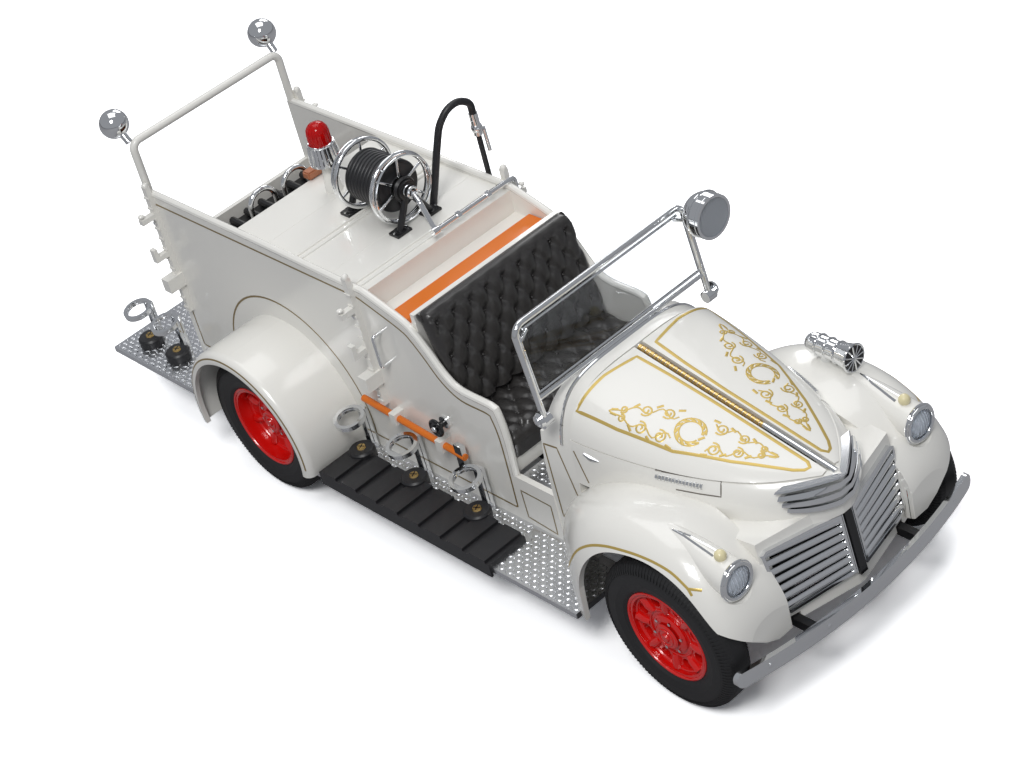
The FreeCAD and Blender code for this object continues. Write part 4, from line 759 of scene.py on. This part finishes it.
# Nose: bright edges of the centre bar, and bolts on the bumper.
BOW = 141.4
bm = bmesh.new()
for sign in (1, -1):
    rod(bm, (117.7 + 0.11 * 9, sign * 1.15, 21.2), (117.7 - 0.11 * 9, sign * 1.15, 39.2), 0.3, around=8)
    for y in (15.0, 31.0):
        x = 122.8 - BOW + math.sqrt(BOW ** 2 - y ** 2)
        ball(bm, (x - 0.15, sign * y, 18.0), 0.75, (0.5, 1, 1), (16, 9))
finish_mesh("nose_and_bumper_brightwork", bm, CHROME)

# Reel: second hoops tied by short studs, hub caps, foot pads and hose bands.
bm = bmesh.new()
REEL = (2.4, 76.4)
for x, out in ((-34.5, -1), (-20.5, 1)):
    ring(bm, (x + out * 1.6, *REEL), (1, 0, 0), 8.6, 0.32, 56)
    for k in range(6):
        t = 2 * math.pi * k / 6
        y, z = REEL[0] + 8.7 * math.cos(t), REEL[1] + 8.7 * math.sin(t)
        rod(bm, (x, y, z), (x + out * 1.6, y, z), 0.2, around=6)
for x in (-17.0, -15.6):
    ring(bm, (x, *REEL), (1, 0, 0), 1.35, 0.35, 24)
rod(bm, (-7.4, -0.6, 68.9), (-7.4, 1.2, 68.9), 1.1, around=12)
for y in (8.0, 18.0):
    rod(bm, (-7.4, y - 0.6, 68.9), (-7.4, y + 0.6, 68.9), 1.0, around=6)
rod(bm, (-7.4, 26.9, 65.6), (-7.4, 26.9, 64.3), 1.15, around=12)
finish_mesh("reel_and_pipe_brightwork", bm, CHROME)
bm = bmesh.new()
for x, out in ((-34.5, -1), (-20.5, 1)):
    rod(bm, (x + out * 1.9, *REEL), (x + out * 2.6, *REEL), 3.4, 3.0, 28)
    rod(bm, (x + out * 2.6, *REEL), (x + out * 3.4, *REEL), 2.2, 1.8, 24)
    for y in (-2.6, 7.4):
        block(bm, (x + out * 2.6 - 1.8, y - 2.3, 66.85), (x + out * 2.6 + 1.8, y + 2.3, 67.5))
finish_mesh("reel_hubs_and_feet", bm, BLACK)
bm = bmesh.new()
for y in (-2.6, 7.4):
    for x in (-37.1, -17.9):
        for dy in (-1.9, 1.9):
            rod(bm, (x, y + dy, 67.5), (x, y + dy, 67.8), 0.35, around=6)
finish_mesh("reel_foot_screws", bm, CHROME)

# Beacon: fluted base, collar rings and a ribbed dome with its cap.
bm = bmesh.new()
BX, BY = -50.0, 2.4
for k in range(24):
    t = 2 * math.pi * k / 24
    a = Vector((BX + 4.05 * math.cos(t), BY + 4.05 * math.sin(t), 76.0))
    b = Vector((BX + 3.45 * math.cos(t), BY + 3.45 * math.sin(t), 80.4))
    rod(bm, a, b, 0.3, 0.24, 6)
ring(bm, (BX, BY, 80.7), (0, 0, 1), 3.2, 0.35, 40)
finish_mesh("beacon_brightwork", bm, CHROME)
bm = bmesh.new()
for k in range(16):
    t = 2 * math.pi * k / 16
    out = Vector((math.cos(t), math.sin(t), 0))
    run = [Vector((BX, BY, 81.0)) + out * 2.9, Vector((BX, BY, 83.7)) + out * 2.9]
    run += [Vector((BX, BY, 83.7 + 2.9 * math.sin(a))) + out * 2.9 * math.cos(a) for a in (0.35, 0.7, 1.05)]
    tube(bm, run, 0.14, 6)
finish_mesh("beacon_dome_ribs", bm, RUBY)

# Extinguisher holders: flat band rings, black feet and brass screws.
bands, feet, screws = bmesh.new(), bmesh.new(), bmesh.new()
slots_bm = bmesh.new()
for sign in (1, -1):
    for x, height in ((-19.6, 12.6), (1.0, 12.6), (24.5, 12.6), (-100.5, 12.0), (-113.5, 12.0)):
        y = sign * 31.6
        top = BOARD_TOP + height
        lathe(bands, [(3.15, -0.65), (4.15, -0.65), (4.15, 0.65), (3.15, 0.65)], (x, y, top),
              (0, sign * 0.15, 1), 36)
        back = 26.55 if x > -96 else 27.15
        near, far = sorted((sign * back, sign * (back + 1.7)))
        for edge in (-0.9, 0.9):
            block(bands, (x + edge - 0.2, near, BOARD_TOP + 1.2), (x + edge + 0.2, far, top + 0.4))
        foot = sign * 31.0
        lathe(feet, [(0.3, 0.05), (3.5, 0.05), (3.5, 2.3), (3.1, 2.75), (0.3, 2.85)], (x, foot, BOARD_TOP),
              (0, 0, 1), 32)
        rod(screws, (x, foot, BOARD_TOP + 2.8), (x, foot, BOARD_TOP + 3.25), 1.25, 1.05, 20)
        for turn in (0, math.pi / 2):
            low, high = (x - 0.95, foot - 0.14, BOARD_TOP + 3.2), (x + 0.95, foot + 0.14, BOARD_TOP + 3.29)
            block(slots_bm, low, high, Matrix.Rotation(turn + 0.5, 4, "Z"))
finish_mesh("holder_bands", bands, CHROME)
finish_mesh("holder_feet", feet, RUBBER)
finish_mesh("holder_screws", screws, BRASS)
finish_mesh("holder_screw_slots", slots_bm, GLOSS)

# Brackets, valves and ball lamps: small fittings, with the tail lamps and tailgate seams.
bm = bmesh.new()
for sign in (1, -1):
    near, far = sorted((sign * 26.9, sign * 27.25))
    for x, low in ((-93.7, 31.0), (-9.9, 33.0)):
        for k in range(int((70 - low) / 3.2)):
            z = low + 1.2 + 3.2 * k
            block(bm, (x - 1.05, near, z), (x + 1.05, far, z + 0.5))
        ball(bm, (x, sign * 30.4, 63.9), 0.9, (1, 1, 0.6))
        ball(bm, (x, sign * 26.3, 71.1), 0.95)
finish_mesh("bracket_ribs", bm, WHITE)
bm = bmesh.new()
for sign in (1, -1):
    ball(bm, (13.5, sign * 29.2, 36.5), 0.8, (1, 0.8, 1))
    rod(bm, (13.5, sign * 25.5, 36.5), (13.5, sign * 26.1, 36.5), 1.7, around=20)
    for x, z in ((-93.7, 34.0), (-9.9, 36.0), (-93.7, 60.0), (-9.9, 60.0)):
        ball(bm, (x, sign * 27.35, z), 0.55, (1, 0.5, 1), (10, 6))
finish_mesh("valve_knobs_and_screws", bm, CHROME)
bm = bmesh.new()
for sign in (1, -1):
    ring(bm, (-100.3, sign * 25.1, 87.7), (1, 0, 0), 3.4, 0.45, 40)
    rod(bm, (-101.9, sign * 25.1, 87.7), (-103.6, sign * 25.1, 87.7), 2.6, 1.4, 24)
finish_mesh("ball_lamp_rings", bm, CHROME)
bm = bmesh.new()
for sign in (1, -1):
    ball(bm, (-97.3, sign * 19.0, 44.0), 1.5, (0.5, 1, 1))
    rod(bm, (-96.7, sign * 19.0, 44.0), (-97.3, sign * 19.0, 44.0), 1.8, around=20)
finish_mesh("tail_lamps", bm, RUBY)
bm = bmesh.new()
for z in (24.0, 45.5):
    rod(bm, (-96.72, -21.0, z), (-96.72, 21.0, z), 0.14, around=6)
for y in (-21.0, 21.0):
    rod(bm, (-96.72, y, 24.0), (-96.72, y, 45.5), 0.14, around=6)
finish_mesh("tailgate_seams", bm, SEAM)


# Camera as solved from the photograph.
camera = bpy.data.objects.new("camera", bpy.data.cameras.new("camera"))
scene.collection.objects.link(camera)
camera.matrix_world = Matrix.Translation(EYE * MM) @ Matrix((RIGHT, ABOVE, -AHEAD)).transposed().to_4x4()
camera.data.sensor_width = 36
camera.data.lens = 83.70
camera.data.clip_start = 0.01
camera.data.clip_end = 10
scene.camera = camera


# Stage: a pale floor that reads white, a soft world and large studio lamps.
def lamp(name, at, size, power):
    """A square area lamp aimed at the middle of the vehicle."""
    data = bpy.data.lights.new(name, "AREA")
    data.size = size
    data.energy = power
    o = bpy.data.objects.new(name, data)
    o.location = at
    o.rotation_mode = "QUATERNION"
    o.rotation_quaternion = (Vector((0, 0, 0.04)) - Vector(at)).to_track_quat("-Z", "Y")
    scene.collection.objects.link(o)
    o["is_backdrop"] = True


def camera_mix(tree, seen, unseen, target):
    """One colour for what the camera sees directly or through glass, another for the rest."""
    rays = tree.nodes.new("ShaderNodeLightPath")
    reach = tree.nodes.new("ShaderNodeMath")
    reach.operation = "MAXIMUM"
    tree.links.new(rays.outputs["Is Camera Ray"], reach.inputs[0])
    tree.links.new(rays.outputs["Is Transmission Ray"], reach.inputs[1])
    mix = tree.nodes.new("ShaderNodeMix")
    mix.data_type = "RGBA"
    mix.inputs["A"].default_value = (*unseen, 1)
    mix.inputs["B"].default_value = (*seen, 1)
    tree.links.new(reach.outputs[0], mix.inputs["Factor"])
    tree.links.new(mix.outputs["Result"], target)


world = bpy.data.worlds.new("studio")
scene.world = world
world.use_nodes = True
world.node_tree.nodes["Background"].inputs["Strength"].default_value = 1.0
camera_mix(world.node_tree, (0.93, 0.93, 0.93), (0.30, 0.31, 0.33),
           world.node_tree.nodes["Background"].inputs["Color"])
floor_mesh = bpy.data.meshes.new("floor")
floor_mesh.from_pydata([(-3, -3, 0), (3, -3, 0), (3, 3, 0), (-3, 3, 0)], [], [(0, 1, 2, 3)])
floor = bpy.data.objects.new("floor", floor_mesh)
scene.collection.objects.link(floor)
paper = bpy.data.materials.new("floor")
paper.use_nodes = True
paper.node_tree.nodes.clear()
matt = paper.node_tree.nodes.new("ShaderNodeBsdfDiffuse")
out = paper.node_tree.nodes.new("ShaderNodeOutputMaterial")
paper.node_tree.links.new(matt.outputs["BSDF"], out.inputs["Surface"])
camera_mix(paper.node_tree, (1.9, 1.9, 1.9), (0.32, 0.32, 0.33), matt.inputs["Color"])
floor_mesh.materials.append(paper)
floor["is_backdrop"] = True
lamp("key", (0.45, -0.55, 0.95), 0.35, 6.0)
lamp("top", (-0.25, 0.15, 1.1), 0.8, 3.4)
lamp("rim", (-0.6, 0.7, 0.5), 0.4, 2.0)
scene.view_settings.view_transform = "Standard"

low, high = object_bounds()
